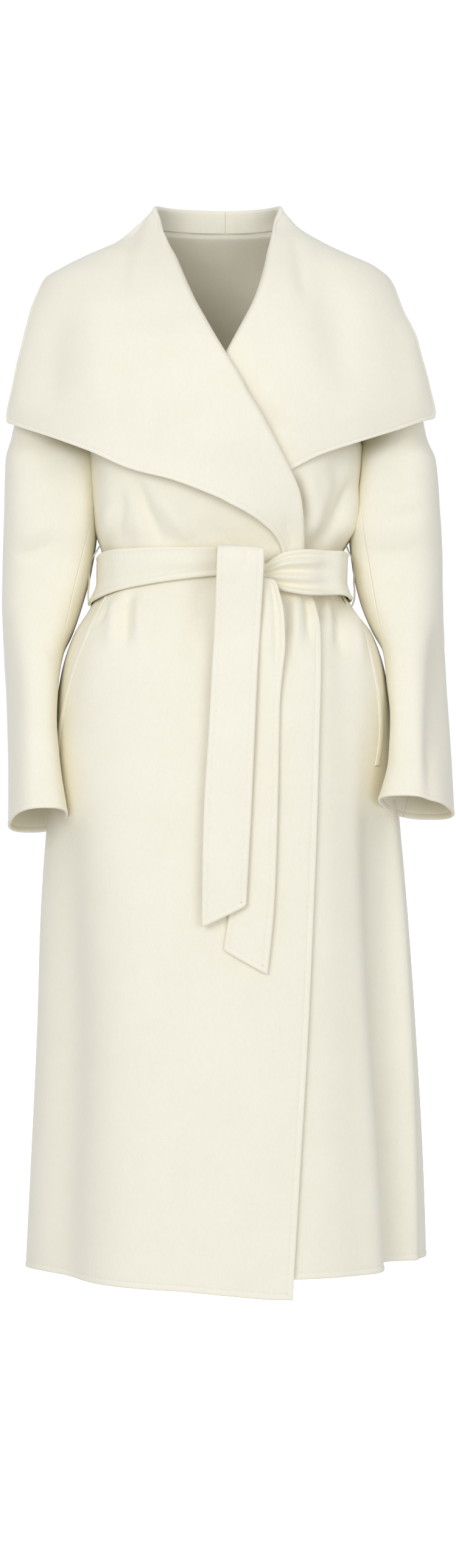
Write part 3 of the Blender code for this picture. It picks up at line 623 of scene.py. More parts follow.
# Cut size of each piece: solid that it stands for, width, length, share of that rectangle that the
# cloth fills, how it is held, and what it rests on.
CUTS = {
    "right_front": ("front_right", 0.42, 1.23, 0.78, "hung", ("left_front",)),
    "left_front": ("front_left", 0.41, 1.21, 0.76, "hung", ("right_front",)),
    "back_panel": ("back", 0.62, 1.24, 0.80, "hung", ("right_front", "left_front")),
    "right_collar": ("collar_right", 0.32, 0.70, 0.57, "draped", ("right_front", "back_panel")),
    "left_collar": ("collar_left", 0.32, 0.70, 0.53, "draped", ("left_front", "back_panel")),
    "right_top_sleeve": ("sleeve_right_top", 0.26, 0.66, 0.80, "hung", ("right_front",)),
    "right_under_sleeve": ("sleeve_right_under", 0.11, 0.48, 0.84, "hung", ("right_front",)),
    "left_top_sleeve": ("sleeve_left_top", 0.26, 0.66, 0.80, "hung", ("left_front",)),
    "left_under_sleeve": ("sleeve_left_under", 0.11, 0.48, 0.84, "hung", ("left_front",)),
    "waist_belt": ("belt_round", 0.054, 0.80, 0.90, "gathered", ("back_panel",)),
    "front_belt_end": ("belt_end_front", 0.054, 0.46, 0.96, "hung", ("belt_tie",)),
    "under_belt_end": ("belt_end_under", 0.054, 0.44, 0.90, "gathered", ("belt_tie",)),
    "right_carrier": ("belt_loop_right", 0.010, 0.08, 0.50, "stretched", ("right_front",)),
    "left_carrier": ("belt_loop_left", 0.010, 0.08, 0.50, "stretched", ("left_front",)),
    "right_pocket_lip": ("pocket_lip_right", 0.010, 0.19, 1.0, "laid", ("right_front",)),
    "left_pocket_lip": ("pocket_lip_left", 0.010, 0.19, 1.0, "laid", ("left_front",)),
}

# Distances from an edge at which points lie, so that its rim or its seam is round.
RIM_STEPS = np.array((0, 0.2, 0.5, 0.9, 1.4, 2.0, 2.8, 3.7, 4.6, 5.4, 6.1, 6.8, 7.6, 8.8, 10.5))
RIM_STEPS = RIM_STEPS / MM_PER_METRE
SEAM_STEPS = np.array((0, 0.3, 0.7, 1.2, 1.9, 2.8, 4.2)) / MM_PER_METRE

# Shares of the collar's stand, from its seam up, at which points lie.
STAND_STEPS = np.array((0.0, 0.02, 0.05, 0.09, 0.15, 0.25, 0.42, 0.65, 1.0))


# --- curves and forms ---------------------------------------------------------------------------


def soft_step(share):
    """Smooth rise from 0 to 1: three times the square less twice the cube."""
    share = np.clip(share, 0.0, 1.0)
    return share * share * (3.0 - 2.0 * share)


def bell(away):
    """Bell curve: e to the minus square of the distance."""
    return np.exp(-(away**2))


def smooth(knots, values, at):
    """Monotone cubic through knots.

    Each inner slope is the weighted harmonic mean of the two gradients beside it, or nothing at a turn,
    and each span is the cubic that has its ends' values and slopes.
    """
    knots = np.asarray(knots, dtype=float)
    values = np.asarray(values, dtype=float)
    extra = (1,) * (values.ndim - 1)
    step = np.diff(knots).reshape(-1, *extra)
    slope = np.diff(values, axis=0) / step
    before, after = slope[:-1], slope[1:]
    heavy = 2.0 * step[1:] + step[:-1]
    light = step[1:] + 2.0 * step[:-1]
    turns = before * after <= 0.0
    total = heavy * np.where(turns, 1.0, after) + light * np.where(turns, 1.0, before)
    inner = (heavy + light) * before * after / np.where(turns, 1.0, total)
    slopes = np.concatenate([slope[:1], np.where(turns, 0.0, inner), slope[-1:]])
    at = np.clip(at, knots[0], knots[-1])
    index = np.clip(np.searchsorted(knots, at, side="right") - 1, 0, len(knots) - 2)
    step = step[index]
    share = (at - knots[index]).reshape(*np.shape(at), *extra) / step
    low, high = values[index], values[index + 1]
    cube, square = share**3, share**2
    return (
        (2.0 * cube - 3.0 * square + 1.0) * low
        + (cube - 2.0 * square + share) * step * slopes[index]
        + (3.0 * square - 2.0 * cube) * high
        + (cube - square) * step * slopes[index + 1]
    )


def read(table, at, column):
    """A table's column at values of its first column."""
    rows = np.array(table)
    rows = rows[np.argsort(rows[:, 0])]
    return smooth(rows[:, 0], rows[:, column], at)


def form(sections, angle, height, lift=0.0):
    """Points of a form: a superellipse at each height, whose axes are the section's reach and depth and
    whose power is its roundness, grown by lift."""
    angle, height = np.broadcast_arrays(np.asarray(angle, float), np.asarray(height, float))
    sine, cosine = np.sin(np.radians(angle)), np.cos(np.radians(angle))
    power = 2.0 / read(sections, height, ROUNDNESS)
    reach = np.where(sine < 0, read(sections, height, RIGHT), read(sections, height, LEFT)) + lift
    depth = np.where(cosine > 0, read(sections, height, FRONT), read(sections, height, BACK)) + lift
    across = reach * np.sign(sine) * np.abs(sine) ** power
    back = -depth * np.sign(cosine) * np.abs(cosine) ** power
    return np.stack([across, back, height], axis=-1)


def folds(angle, height):
    """Sum of the large folds: a bell across each fold's line, faded in from its top."""
    total = np.zeros(np.broadcast(angle, height).shape)
    for top_angle, bottom_angle, top, bottom, rise, width in BODY_FOLDS:
        along = np.clip((top - height) / (top - bottom), 0.0, 1.0)
        middle = top_angle + (bottom_angle - top_angle) * along
        away = (np.mod(angle - middle + 180.0, 360.0) - 180.0) / width
        total = total + rise * bell(away) * np.sin(np.minimum(along / FOLD_FULL, 1.0) * math.pi / 2)
    return total


def body(angle, height, lift=0.0):
    """Points of the body's form with its large folds."""
    return form(BODY_SECTIONS, angle, height, lift + folds(angle, height))


def front_angle(sections, across, height, lift=0.0):
    """Angle at which the front of a section lies that far across."""
    reach = np.where(across < 0, read(sections, height, RIGHT), read(sections, height, LEFT)) + lift
    share = np.clip(np.abs(across) / reach, 0.0, 1.0)
    return np.sign(across) * np.degrees(np.arcsin(share ** (read(sections, height, ROUNDNESS) / 2.0)))


def overlap_lift(angle, height):
    """How far the right front stands out where it laps over."""
    start, width = FRONT_RISE
    return read(OVERLAP_LIFTS, height, 1) * soft_step((angle + start) / width)


def lapel_lift(angle, height):
    """How far the right lapel stands off the collar's form."""
    start, width = LAPEL_RISE
    return read(OVERLAP_LIFTS, height, 2) * soft_step((angle + start) / width)


def no_lift(angle, height):
    """The left front lies on the body's form."""
    return np.zeros(np.broadcast(angle, height).shape)


def added_up(steps):
    """Running total of steps, from 0."""
    return np.concatenate([[0.0], np.cumsum(steps)])


def spread(first, last, first_steps, last_steps, count):
    """Values from first to last in each row: steps away from both ends, then evenly between them."""
    turn = np.sign(last - first)[:, None]
    start = first[:, None] + turn * first_steps
    end = last[:, None] - turn * last_steps[:, ::-1]
    inner = np.linspace(0.0, 1.0, count + 2)[None, 1:-1]
    middle = start[:, -1:] + (end[:, :1] - start[:, -1:]) * inner
    return np.concatenate([start, middle, end], axis=1)


def degrees_along(angle, height, steps, lift=0.0):
    """Steps along the body's form as angles, from the width of one degree at each row."""
    width = np.linalg.norm(body(angle + 1.0, height, lift) - body(angle, height, lift), axis=-1)
    return np.asarray(steps)[None, :] / width[:, None]


# --- shells -------------------------------------------------------------------------------------


def unit(vectors):
    """Vectors of length one."""
    return vectors / np.maximum(np.linalg.norm(vectors, axis=-1, keepdims=True), TINY)


def normals(points):
    """Unit normals of a grid: the cross product of its two directions."""
    return unit(np.cross(np.gradient(points, axis=1), np.gradient(points, axis=0)))


def front_view(points):
    """Across and height of points as seen from in front, on the plane through the coat's middle."""
    scale = VIEW_DISTANCE / (VIEW_DISTANCE + points[..., 1])
    across = VIEW_CENTRE[0] + (points[..., 0] - VIEW_CENTRE[0]) * scale
    height = VIEW_CENTRE[1] + (points[..., 2] - VIEW_CENTRE[1]) * scale
    return np.stack([across, height], axis=-1)


def crease_rise(points, table):
    """Rise of the creases at points.

    A crease is a quadratic curve through its middle point, cut into short straight spans. The rise is a
    bell of the distance to the nearest span, and fades towards both ends of the curve.
    """
    seen = front_view(points).reshape(-1, 2)
    total = np.zeros(len(seen))
    share = np.linspace(0.0, 1.0, CREASE_SAMPLES + 1)[:, None]
    for x1, z1, x2, z2, x3, z3, rise, width in table:
        start, middle, end = np.array(((x1, z1), (x2, z2), (x3, z3))) / MM_PER_METRE
        pull = 2.0 * middle - (start + end) / 2
        curve = (1 - share) ** 2 * start + 2 * share * (1 - share) * pull + share**2 * end
        span = np.diff(curve, axis=0)
        offset = seen[:, None, :] - curve[None, :-1]
        along = np.clip((offset * span).sum(-1) / (span * span).sum(-1), 0.0, 1.0)
        away = np.linalg.norm(offset - along[..., None] * span, axis=-1)
        nearest = away.argmin(axis=1)
        rows = np.arange(len(seen))
        place = (nearest + along[rows, nearest]) / CREASE_SAMPLES
        fade = soft_step(place / CREASE_FADE) * soft_step((1.0 - place) / CREASE_FADE)
        total += rise / MM_PER_METRE * bell(away[rows, nearest] * MM_PER_METRE / width) * fade
    return total.reshape(points.shape[:-1])


def creased(points, table, facing=-1.0):
    """A grid moved along its normals by its creases, only where it faces the front (or the back)."""
    normal = normals(points)
    faces = soft_step(normal[..., 1] * facing / FACING_FADE)
    return points + normal * (crease_rise(points, table) * faces)[..., None]


def runs(points, axis):
    """Lengths along a grid's lines from the start, and to the end."""
    step = np.linalg.norm(np.diff(points, axis=axis), axis=-1)
    zero = np.zeros_like(np.take(step, [0], axis=axis))
    done = np.concatenate([zero, np.cumsum(step, axis=axis)], axis=axis)
    return done, np.take(done, [-1], axis=axis) - done


def shell(name, face, cloth, rims, rim_scale=1.0):
    """A closed shell of cloth behind a grid of points.

    Half the wall's thickness is a quarter circle at every edge, so that both faces meet there. Along the
    edges in rims it also swells to a turned-in rim with a shallow groove beside it. The first and last
    rows and columns are named "top", "bottom", "start" and "end" by their place in the grid.
    """
    sizes = bpy.context.scene.coat_sizes
    along, along_back = runs(face, 1)
    down, down_back = runs(face, 0)
    reach = {"start": along, "end": along_back, "bottom": down, "top": down_back}
    other = {"start": down, "end": down, "bottom": along, "top": along}
    far = np.full(along.shape, FAR)
    rim = np.minimum.reduce([far, *[reach[key] for key in rims]])
    edge = np.minimum.reduce(list(reach.values()))
    width = sizes.rim_width * rim_scale
    swell = sizes.rim_rise * (1.0 - soft_step((rim - RIM_LEVEL * width) / (RIM_FALL * width)))
    groove = sizes.groove * bell((rim - GROOVE_PLACE * width) / GROOVE_SPREAD)
    half = cloth / 2 + swell - groove
    round_off = np.sqrt(1.0 - (1.0 - np.clip(edge / half, 0.0, 1.0)) ** 2)
    normal = normals(face)
    middle = face - normal * cloth / 2
    offset = normal * (half * round_off)[..., None]
    rows, columns = face.shape[:2]
    outer = (middle + offset).reshape(-1, 3)
    inner = (middle - offset)[1:-1, 1:-1].reshape(-1, 3)
    front = np.arange(rows * columns).reshape(rows, columns)
    back = front.copy()
    back[1:-1, 1:-1] = rows * columns + np.arange(len(inner)).reshape(rows - 2, columns - 2)
    piece = mesh_object(name, np.concatenate([outer, inner]), quads(front, back))
    nearest = np.argmin([reach[key] for key in rims], axis=0) if rims else np.zeros((rows, columns), int)
    run = np.choose(nearest, [other[key] for key in rims]) if rims else along
    mark_edges(piece, run, rim, front, back)
    return piece


def quads(front, back):
    """Faces of the outer grid, and of the inner one turned round.

    The faces at two of the corners start one point on, so that their diagonals run from the corner.
    """
    outer = np.stack([front[:-1, :-1], front[:-1, 1:], front[1:, 1:], front[1:, :-1]], axis=-1)
    inner = np.stack([back[:-1, :-1], back[1:, :-1], back[1:, 1:], back[:-1, 1:]], axis=-1)
    for faces in (outer, inner):
        for corner in ((0, -1), (-1, 0)):
            faces[corner] = np.roll(faces[corner], 1)
    return np.concatenate([outer.reshape(-1, 4), inner.reshape(-1, 4)])


def add_object(name, data):
    """An object in the scene that holds its data."""
    made = bpy.data.objects.new(name, data)
    bpy.context.scene.collection.objects.link(made)
    return made


def mesh_object(name, points, faces):
    """A smooth-shaded object from points and four-sided faces."""
    mesh = bpy.data.meshes.new(name)
    mesh.vertices.add(len(points))
    mesh.vertices.foreach_set("co", np.ascontiguousarray(points, dtype=np.float32).ravel())
    mesh.loops.add(faces.size)
    mesh.loops.foreach_set("vertex_index", faces.ravel().astype(np.int32))
    mesh.polygons.add(len(faces))
    mesh.polygons.foreach_set("loop_start", np.arange(0, faces.size, 4, dtype=np.int32))
    mesh.update(calc_edges=True)
    mesh.validate()
    mesh.shade_smooth()
    return add_object(name, mesh)


def mark_edges(piece, run, rim, front, back):
    """UV map of a shell: length along its rim, and distance from it, both in metres."""
    place = np.zeros((max(front.max(), back.max()) + 1, 2))
    for index in (front, back):
        place[index.ravel(), 0] = run.ravel()
        place[index.ravel(), 1] = np.minimum(rim, MARKED_TO).ravel()
    mesh = piece.data
    corners = np.empty(len(mesh.loops), dtype=np.int32)
    mesh.loops.foreach_get("vertex_index", corners)
    layer = mesh.uv_layers.new(name="rim")
    layer.data.foreach_set("uv", place[corners].astype(np.float32).ravel())


def dress(piece, node):
    """Give a piece its wool, hang it from the root, and hide the solid that it stands for."""
    piece.data.materials.append(wool())
    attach(piece, "root")
    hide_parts(node)


def settle(piece):
    """Dress a piece, taking the solid that it stands for from its cut."""
    node, width, length, filled, held, rests_on = CUTS[piece.name]
    dress(piece, node)


# --- the wool -----------------------------------------------------------------------------------


class Socket:
    """A number that varies over a surface, so that its sums are written as Python."""

    def __init__(self, shader, output):
        self.shader = shader
        self.output = output

    def _math(self, operation, first, second):
        node = self.shader.node("ShaderNodeMath", {"operation": operation}, {0: first, 1: second})
        return Socket(self.shader, node.outputs[0])

    def __add__(self, other):
        return self._math("ADD", self, other)

    __radd__ = __add__

    def __sub__(self, other):
        return self._math("SUBTRACT", self, other)

    def __rsub__(self, other):
        return self._math("SUBTRACT", other, self)

    def __mul__(self, other):
        return self._math("MULTIPLY", self, other)

    __rmul__ = __mul__

    def __truediv__(self, other):
        return self._math("DIVIDE", self, other)

    def __rtruediv__(self, other):
        return self._math("DIVIDE", other, self)

    def __pow__(self, other):
        return self._math("POWER", self, other)

    def __rpow__(self, other):
        return self._math("POWER", other, self)

    def least(self, other):
        """The smaller of two."""
        return self._math("MINIMUM", self, other)

    def most(self, other):
        """The larger of two."""
        return self._math("MAXIMUM", self, other)

    def wave(self):
        """Its sine."""
        return self._math("SINE", self, 0.0)

    def exponent(self):
        """The power of e by it."""
        return self._math("EXPONENT", self, 0.0)


class Shader:
    """The node tree of a material or of the surroundings, and its last node."""

    def __init__(self, owner, last="Principled BSDF"):
        owner.use_nodes = True
        self.owner = owner
        self.tree = owner.node_tree
        self.surface = self.tree.nodes[last]

    def node(self, kind, settings, inputs):
        """Add a node: its settings first, then the values or links of its sockets."""
        made = self.tree.nodes.new(kind)
        for key, value in settings.items():
            setattr(made, key, value)
        self.fill(made, inputs)
        return made

    def fill(self, made, inputs):
        """Set or link a node's sockets."""
        for key, value in inputs.items():
            if isinstance(value, Socket):
                self.tree.links.new(value.output, made.inputs[key])
            elif isinstance(value, bpy.types.NodeSocket):
                self.tree.links.new(value, made.inputs[key])
            else:
                made.inputs[key].default_value = value

    def number(self, made, output):
        """One of a node's outputs as a number."""
        return Socket(self, made.outputs[output])


def noise(shader, place, scale, detail, stretch):
    """Noise between 0 and 1 on the piece's own coordinates, stretched along them."""
    turned = shader.node("ShaderNodeMapping", {}, {"Vector": place, "Scale": stretch})
    made = shader.node(
        "ShaderNodeTexNoise",
        {"noise_dimensions": "3D"},
        {"Vector": turned.outputs["Vector"], "Scale": scale, "Detail": detail, "Roughness": GRAIN_ROUGHNESS},
    )
    return shader.number(made, "Fac")


def stitch_marks(shader):
    """The line of the groove beside a rim, and the sunk stitches on it, along which the colour is darkened as
    painted shade. The line is e to the minus square of the distance from the groove, and a stitch is the line
    times the cube of a sine along the rim."""
    sizes = bpy.context.scene.coat_sizes
    rim_map = shader.node("ShaderNodeUVMap", {"uv_map": "rim"}, {})
    parts = shader.node("ShaderNodeSeparateXYZ", {}, {"Vector": rim_map.outputs["UV"]})
    run, away = shader.number(parts, "X"), shader.number(parts, "Y")
    across = (away - GROOVE_PLACE * sizes.rim_width) / STITCH_SPREAD
    line = (across * across * -1.0).most(LEAST_POWER).exponent()
    dots = ((run * (2.0 * math.pi / sizes.stitch)).wave() * 0.5 + 0.5) ** STITCH_SHARPNESS
    return line, line * dots


def wool():
    """Napped double-faced wool: soft fibre bump, faint cloudy colour, and sunk hand stitches beside the
    turned-in rims, with painted shade darkening the colour along the grooves and stitches. Bump and colour
    are sums of the grain's noises, each times its share."""
    name = "ivory_wool"
    if name in bpy.data.materials:
        return bpy.data.materials[name]
    colours = bpy.context.scene.coat_colours
    shader = Shader(bpy.data.materials.new(name))
    place = shader.node("ShaderNodeTexCoord", {}, {}).outputs["Object"]
    fibre, nap, felt, cloud = (noise(shader, place, *row) for row in GRAIN.values())
    line, stitches = stitch_marks(shader)
    height = fibre * BUMP["fibre"] + nap * BUMP["nap"] + felt * BUMP["felt"] - stitches * BUMP["stitch"]
    bump = shader.node(
        "ShaderNodeBump", {}, {"Strength": BUMP_STRENGTH, "Distance": BUMP_DEPTH, "Height": height}
    )
    tone = (cloud - 0.5) * TONE["cloud"] + (nap - 0.5) * TONE["nap"] + (fibre - 0.5) * TONE["fibre"]
    # Painted shade: the tone, and so the colour, darkens along the groove's line and on the sunk stitches.
    tone = tone + TONE["middle"] - stitches * TONE["stitch"] - line * TONE["line"]
    colour = shader.node(
        "ShaderNodeMix",
        {"data_type": "RGBA", "clamp_factor": True},
        {
            MIX_FACTOR: tone.least(1.0).most(0.0),
            MIX_COLOURS[0]: colours.wool_grain_and_groove_shade,
            MIX_COLOURS[1]: colours.wool,
        },
    )
    rough = (fibre - 0.5) * ROUGHNESS[0] + ROUGHNESS[1]
    shader.fill(shader.surface, {"Base Color": colour.outputs[MIXED_COLOUR], "Roughness": rough})
    shader.fill(shader.surface, {"Normal": bump.outputs["Normal"], **WOOL_SURFACE})
    return shader.owner


# --- fronts and back ----------------------------------------------------------------------------


def body_heights(count):
    """Rows of a body panel: close together at the hem's rim, then even up to the neckline."""
    top = HEM + RIM_STEPS[-1]
    return np.concatenate([HEM + RIM_STEPS, np.linspace(top, NECKLINE, count + 1)[1:]])


def hem_shift(heights, angle, column):
    """How far each row moves so that the lowest one follows the hem's line, fading out upwards."""
    share = np.clip((HEM_TURN - heights) / (HEM_TURN - HEM), 0.0, 1.0)
    return (read(HEM_LINE, angle, column) - HEM) * share


def seam_angle(side, heights):
    """Angle from the front's middle to the side seam, or to the armhole where it opens."""
    across = side * np.full_like(heights, ARMHOLE_ACROSS[side] - SEAM_GAP / 2)
    open_rows = (heights > UNDERARM) & (heights < SHOULDER_TIP)
    cut = front_angle(BODY_SECTIONS, across, heights)
    return np.where(open_rows, cut, side * 90.0)


def front_face(side, column, lift):
    """A front's outer face: angles from the side seam to the opening edge at each height."""
    rows, columns = GRIDS["front"]
    heights = body_heights(rows)
    across = read(OPENING_EDGES, heights, column) + side * LAPEL_GAP
    opening = front_angle(BODY_SECTIONS, across, heights, lift(RISEN_ANGLE, heights))
    seam = seam_angle(side, heights) - side * SEAM_TURN
    rim = degrees_along(opening, heights, RIM_STEPS)
    join = degrees_along(seam - side * SEAM_INSET, heights, SEAM_STEPS)
    if side > 0:
        angle = spread(opening, seam, rim, join, columns)
    else:
        angle = spread(seam, opening, join, rim, columns)
    height = heights[:, None] + hem_shift(heights[:, None], angle, column)
    return body(angle, height, lift(angle, height))


def back_face():
    """The back's outer face: angles from side seam to side seam at each height."""
    rows, columns = GRIDS["back"]
    heights = body_heights(rows)
    first = 180.0 - seam_angle(1, heights) + SEAM_TURN
    last = 180.0 - seam_angle(-1, heights) - SEAM_TURN
    join = degrees_along(first + SEAM_INSET, heights, SEAM_STEPS)
    angle = spread(first, last, join, join, columns)
    height = heights[:, None] + hem_shift(heights[:, None], angle, HEM_BACK)
    return body(angle, height)


class COAT_OT_fronts(bpy.types.Operator):
    """Make the two fronts with their overlap, hems and creases"""

    bl_idname = "coat.fronts"
    bl_label = "Fronts"

    def execute(self, context):
        cloth = context.scene.coat_sizes.cloth
        right = creased(front_face(-1, RIGHT, overlap_lift), CREASES_FRONT_RIGHT)
        settle(shell("right_front", right, cloth, ("end", "bottom")))
        left = creased(front_face(1, LEFT, no_lift), CREASES_FRONT_LEFT)
        settle(shell("left_front", left, cloth, ("start", "bottom")))
        return {"FINISHED"}


class COAT_OT_back(bpy.types.Operator):
    """Make the back panel"""

    bl_idname = "coat.back"
    bl_label = "Back"

    def execute(self, context):
        face = creased(back_face(), CREASES_BACK, facing=1.0)
        settle(shell("back_panel", face, context.scene.coat_sizes.cloth, ("bottom",)))
        return {"FINISHED"}


# --- collar -------------------------------------------------------------------------------------


def arm_flare(angle, height):
    """How far the collar stands off the arms near its outer edges."""
    turned = soft_step((np.abs(angle) - FLARE_ANGLE[0]) / FLARE_ANGLE[1])
    return ARM_FLARE * turned * soft_step((FLARE_HEIGHT[0] - height) / FLARE_HEIGHT[1])


def collar_face(side, angle, height):
    """Point of the collar's outer face: over the right front's lift, or pressed under it."""
    flare = arm_flare(angle, height)
    if side < 0:
        return form(COLLAR_SECTIONS, angle, height, lapel_lift(angle, height) + flare)
    point = form(COLLAR_SECTIONS, angle, height, flare)
    covered_to = read(OPENING_EDGES, height, 1)
    free = soft_step((point[..., 0] - covered_to) / PRESS_WIDTH)
    under = front_angle(BODY_SECTIONS, point[..., 0], height, PRESSED_LIFT)
    pressed = body(under, height, PRESSED_LIFT)
    blended = pressed[..., 1] + (point[..., 1] - pressed[..., 1]) * free
    point[..., 1] = np.where(np.abs(angle) < PRESSED_TO, blended, point[..., 1])
    return point


def collar_stations(side, edge_column, lapel):
    """The collar's stations: seam, inner point and outward direction, then the angle and height of the
    fold and of the free edge."""
    cloth = bpy.context.scene.coat_sizes.cloth
    height = np.array(LAPEL_HEIGHTS)
    lapel, neck = np.array(lapel), np.array(NECK) * (1, side, side, 1)
    across = read(OPENING_EDGES, height, edge_column)
    lapped = overlap_lift(RISEN_ANGLE, height) if side < 0 else np.zeros_like(height)
    risen = lapel_lift(RISEN_ANGLE, height) if side < 0 else 0.0
    on_body = front_angle(BODY_SECTIONS, across, height, lapped)
    seam = body(on_body, height, lapped - cloth)
    outward = unit(body(on_body - side, height, lapped - cloth) - seam)
    inner = seam + outward * FOLD_DEPTH * FOLD_START
    lean = np.clip((height - SHOULDER_TIP) / (NECKLINE - SHOULDER_TIP), 0.0, 1.0)[:, None]
    outward = outward * (1.0 - lean) + UP * lean
    fold = front_angle(COLLAR_SECTIONS, across, height, risen)
    lower = np.concatenate([seam, inner, outward, np.stack([fold, height], 1), lapel], axis=1)
    stand = form(COLLAR_SECTIONS, neck[:, 1], neck[:, 0], -STAND_FOLD)
    base = body(neck[:, 1], np.full(len(neck), NECKLINE - SEAM_LAP), -cloth)
    ups = np.tile(UP, (len(neck), 1))
    upper = np.concatenate([base, stand, ups, neck[:, 1:2], neck[:, 0:1], neck[:, 2:]], axis=1)
    return np.concatenate([lower, upper])


def collar_grid(side, stations):
    """The collar as a grid of stations by steps: up from the seam, half an ellipse round the fold, then
    down the fall to the free edge."""
    rows, columns = GRIDS["collar"]
    lines = [collar_face(side, *part.T) for part in np.split(stations, STATION_PARTS, axis=1)[-2:]]
    gap = sum(np.linalg.norm(np.diff(line, axis=0), axis=1) for line in lines)
    knots = added_up(gap / 2 + STATION_APART)
    at = np.concatenate([knots[-1] * np.linspace(0, 1, rows + 1)[:-1], knots[-1] - SEAM_STEPS[::-1]])
    at = np.unique(np.round(at, PLACE_DIGITS))
    seam, inner, outward, fold, edge = np.split(smooth(knots, stations, at), STATION_PARTS, axis=1)
    first, last = collar_face(side, *fold.T), collar_face(side, *edge.T)
    length = np.linalg.norm(last - first, axis=1) * FALL_SLACK
    start = np.zeros_like(at)
    share = spread(start, start + 1.0, start[:, None], RIM_STEPS / length[:, None], columns)
    angle = fold[:, :1] + (edge - fold)[:, :1] * share
    height = fold[:, 1:] + (edge - fold)[:, 1:] * share
    fall = collar_face(side, angle, height)
    if side < 0:
        curl = read(LAPEL_CURL, edge[:, 1:], 1)
        fall = fall - (curl * share**3)[..., None] * normals(fall)
    turn = np.linspace(0.0, math.pi, FOLD_POINTS)[None, 1:-1, None]
    middle = ((inner + first) / 2)[:, None]
    arc = middle + (inner[:, None] - middle) * np.cos(turn) + outward[:, None] * FOLD_DEPTH * np.sin(turn)
    rise = seam[:, None] + (inner - seam)[:, None] * STAND_STEPS[None, :, None]
    return np.concatenate([rise, arc, fall], axis=1)


class COAT_OT_collar(bpy.types.Operator):
    """Make the wide shawl collar, each half in one with its lapel"""

    bl_idname = "coat.collar"
    bl_label = "Collar"

    def execute(self, context):
        halves = (
            ("right_collar", -1, RIGHT, LAPEL_RIGHT, CREASES_COLLAR_RIGHT),
            ("left_collar", 1, LEFT, LAPEL_LEFT, CREASES_COLLAR_LEFT),
        )
        for name, side, edge_column, lapel, creases in halves:
            grid = collar_grid(side, collar_stations(side, edge_column, lapel))
            if side < 0:
                grid = grid[::-1]
            grid = creased(grid, creases)
            settle(shell(name, grid, context.scene.coat_sizes.cloth, ("end",)))
        return {"FINISHED"}


# --- sleeves ------------------------------------------------------------------------------------


def armhole_ring(side, around):
    """The armhole's outline, where the sleeve seam's upright plane cuts the body's form."""
    turn = np.radians(around)
    height = (UNDERARM + SHOULDER_TIP) / 2 + (SHOULDER_TIP - UNDERARM) / 2 * np.cos(turn)
    across = ARMHOLE_ACROSS[side]
    reach = read(BODY_SECTIONS, height, LEFT if side > 0 else RIGHT)
    power = read(BODY_SECTIONS, height, ROUNDNESS)
    share = np.clip(1.0 - (across / reach) ** power, 0.0, 1.0) ** (1.0 / power)
    front, back = read(BODY_SECTIONS, height, FRONT), read(BODY_SECTIONS, height, BACK)
    forward = np.where(np.sin(turn) > 0, front, -back)
    outward = np.full_like(height, across + SEAM_GAP / 2)
    return np.stack([side * outward, -forward * share, height], axis=-1)


def cap_ring(side, around, turn_out, reach, depth):
    """One ring of the sleeve cap, an oval fanned out from the underarm."""
    turn, lean = np.radians(around), math.radians(turn_out)
    wider = 1.0 + CAP_WIDER[side] * math.sin(lean) ** 2
    along = UNDERARM_FOLD + reach * wider * (1.0 + np.cos(turn)) / 2
    out = ARMHOLE_ACROSS[side] + SEAM_GAP / 2 + along * math.sin(lean)
    height = UNDERARM - UNDERARM_FOLD + along * math.cos(lean)
    oval = np.stack([side * out, -depth * np.sin(turn), height], axis=-1)
    own = armhole_ring(side, around)
    oval[:, 1] = own[:, 1] + (oval[:, 1] - own[:, 1]) * soft_step(turn_out / CAP_SETTLE)
    return oval


def arm_ring(side, around, row):
    """One ring of the sleeve below the underarm: an oval turned and tipped."""
    height, out, forward, half_width, half_depth, turned, risen = row
    turn, swing, rise = np.radians(around), math.radians(turned), math.radians(risen)
    beside_body = (np.cos(turn) < 0.0) & (np.sin(turn) > 0.0)
    roundness = np.where(beside_body, read(INNER_ROUNDNESS, np.array([height]), 1), SLEEVE_ROUNDNESS)
    wide = half_width * np.sign(np.cos(turn)) * np.abs(np.cos(turn)) ** (2.0 / roundness)
    deep = half_depth * np.sign(np.sin(turn)) * np.abs(np.sin(turn)) ** (2.0 / roundness)
    across = out + wide * math.cos(swing) - deep * math.sin(swing)
    ahead = forward + (deep * math.cos(swing) + wide * math.sin(swing)) * math.cos(rise)
    return np.stack([side * across, -ahead, height + deep * math.sin(rise)], axis=-1)


def sleeve_face(side, table, upper):
    """A sleeve piece's outer face: its rings joined by smooth curves along the arm. The upper piece goes
    round the outside of the arm from the back seam to the front one, the other piece inside."""
    rows, columns = GRIDS["top_sleeve" if upper else "under_sleeve"]
    heights = np.array([row[0] for row in table])
    seam = read(SLEEVE_SEAM, heights, RIGHT if side < 0 else LEFT)
    seam = np.concatenate([np.linspace(CAP_SEAM, seam[0], len(CAP_RINGS)), seam])
    back = np.full_like(seam, UNDER_SLEEVE_BACK)
    steps = np.array([SEAM_STEPS / ARM_RADIUS * DEGREES_IN_RADIAN])
    if upper:
        around = spread(back - 360.0 + SEAM_TURN, seam - SEAM_TURN, steps, steps, columns)
    else:
        around = spread(seam + SEAM_TURN, back - SEAM_TURN, steps, steps, columns)
    caps = [cap_ring(side, turn, *row) for turn, row in zip(around, CAP_RINGS)]
    arms = [arm_ring(side, turn, row) for turn, row in zip(around[len(CAP_RINGS) :], table)]
    rings = np.array(caps + arms)
    apart = np.linalg.norm(np.diff(rings, axis=0), axis=-1).mean(axis=1)
    knots = added_up(apart)
    at = spread(np.zeros(1), knots[-1:], SEAM_STEPS[None], RIM_STEPS[None], rows)[0]
    grid = smooth(knots, rings, at)
    return grid[:, ::-1] if side < 0 else grid


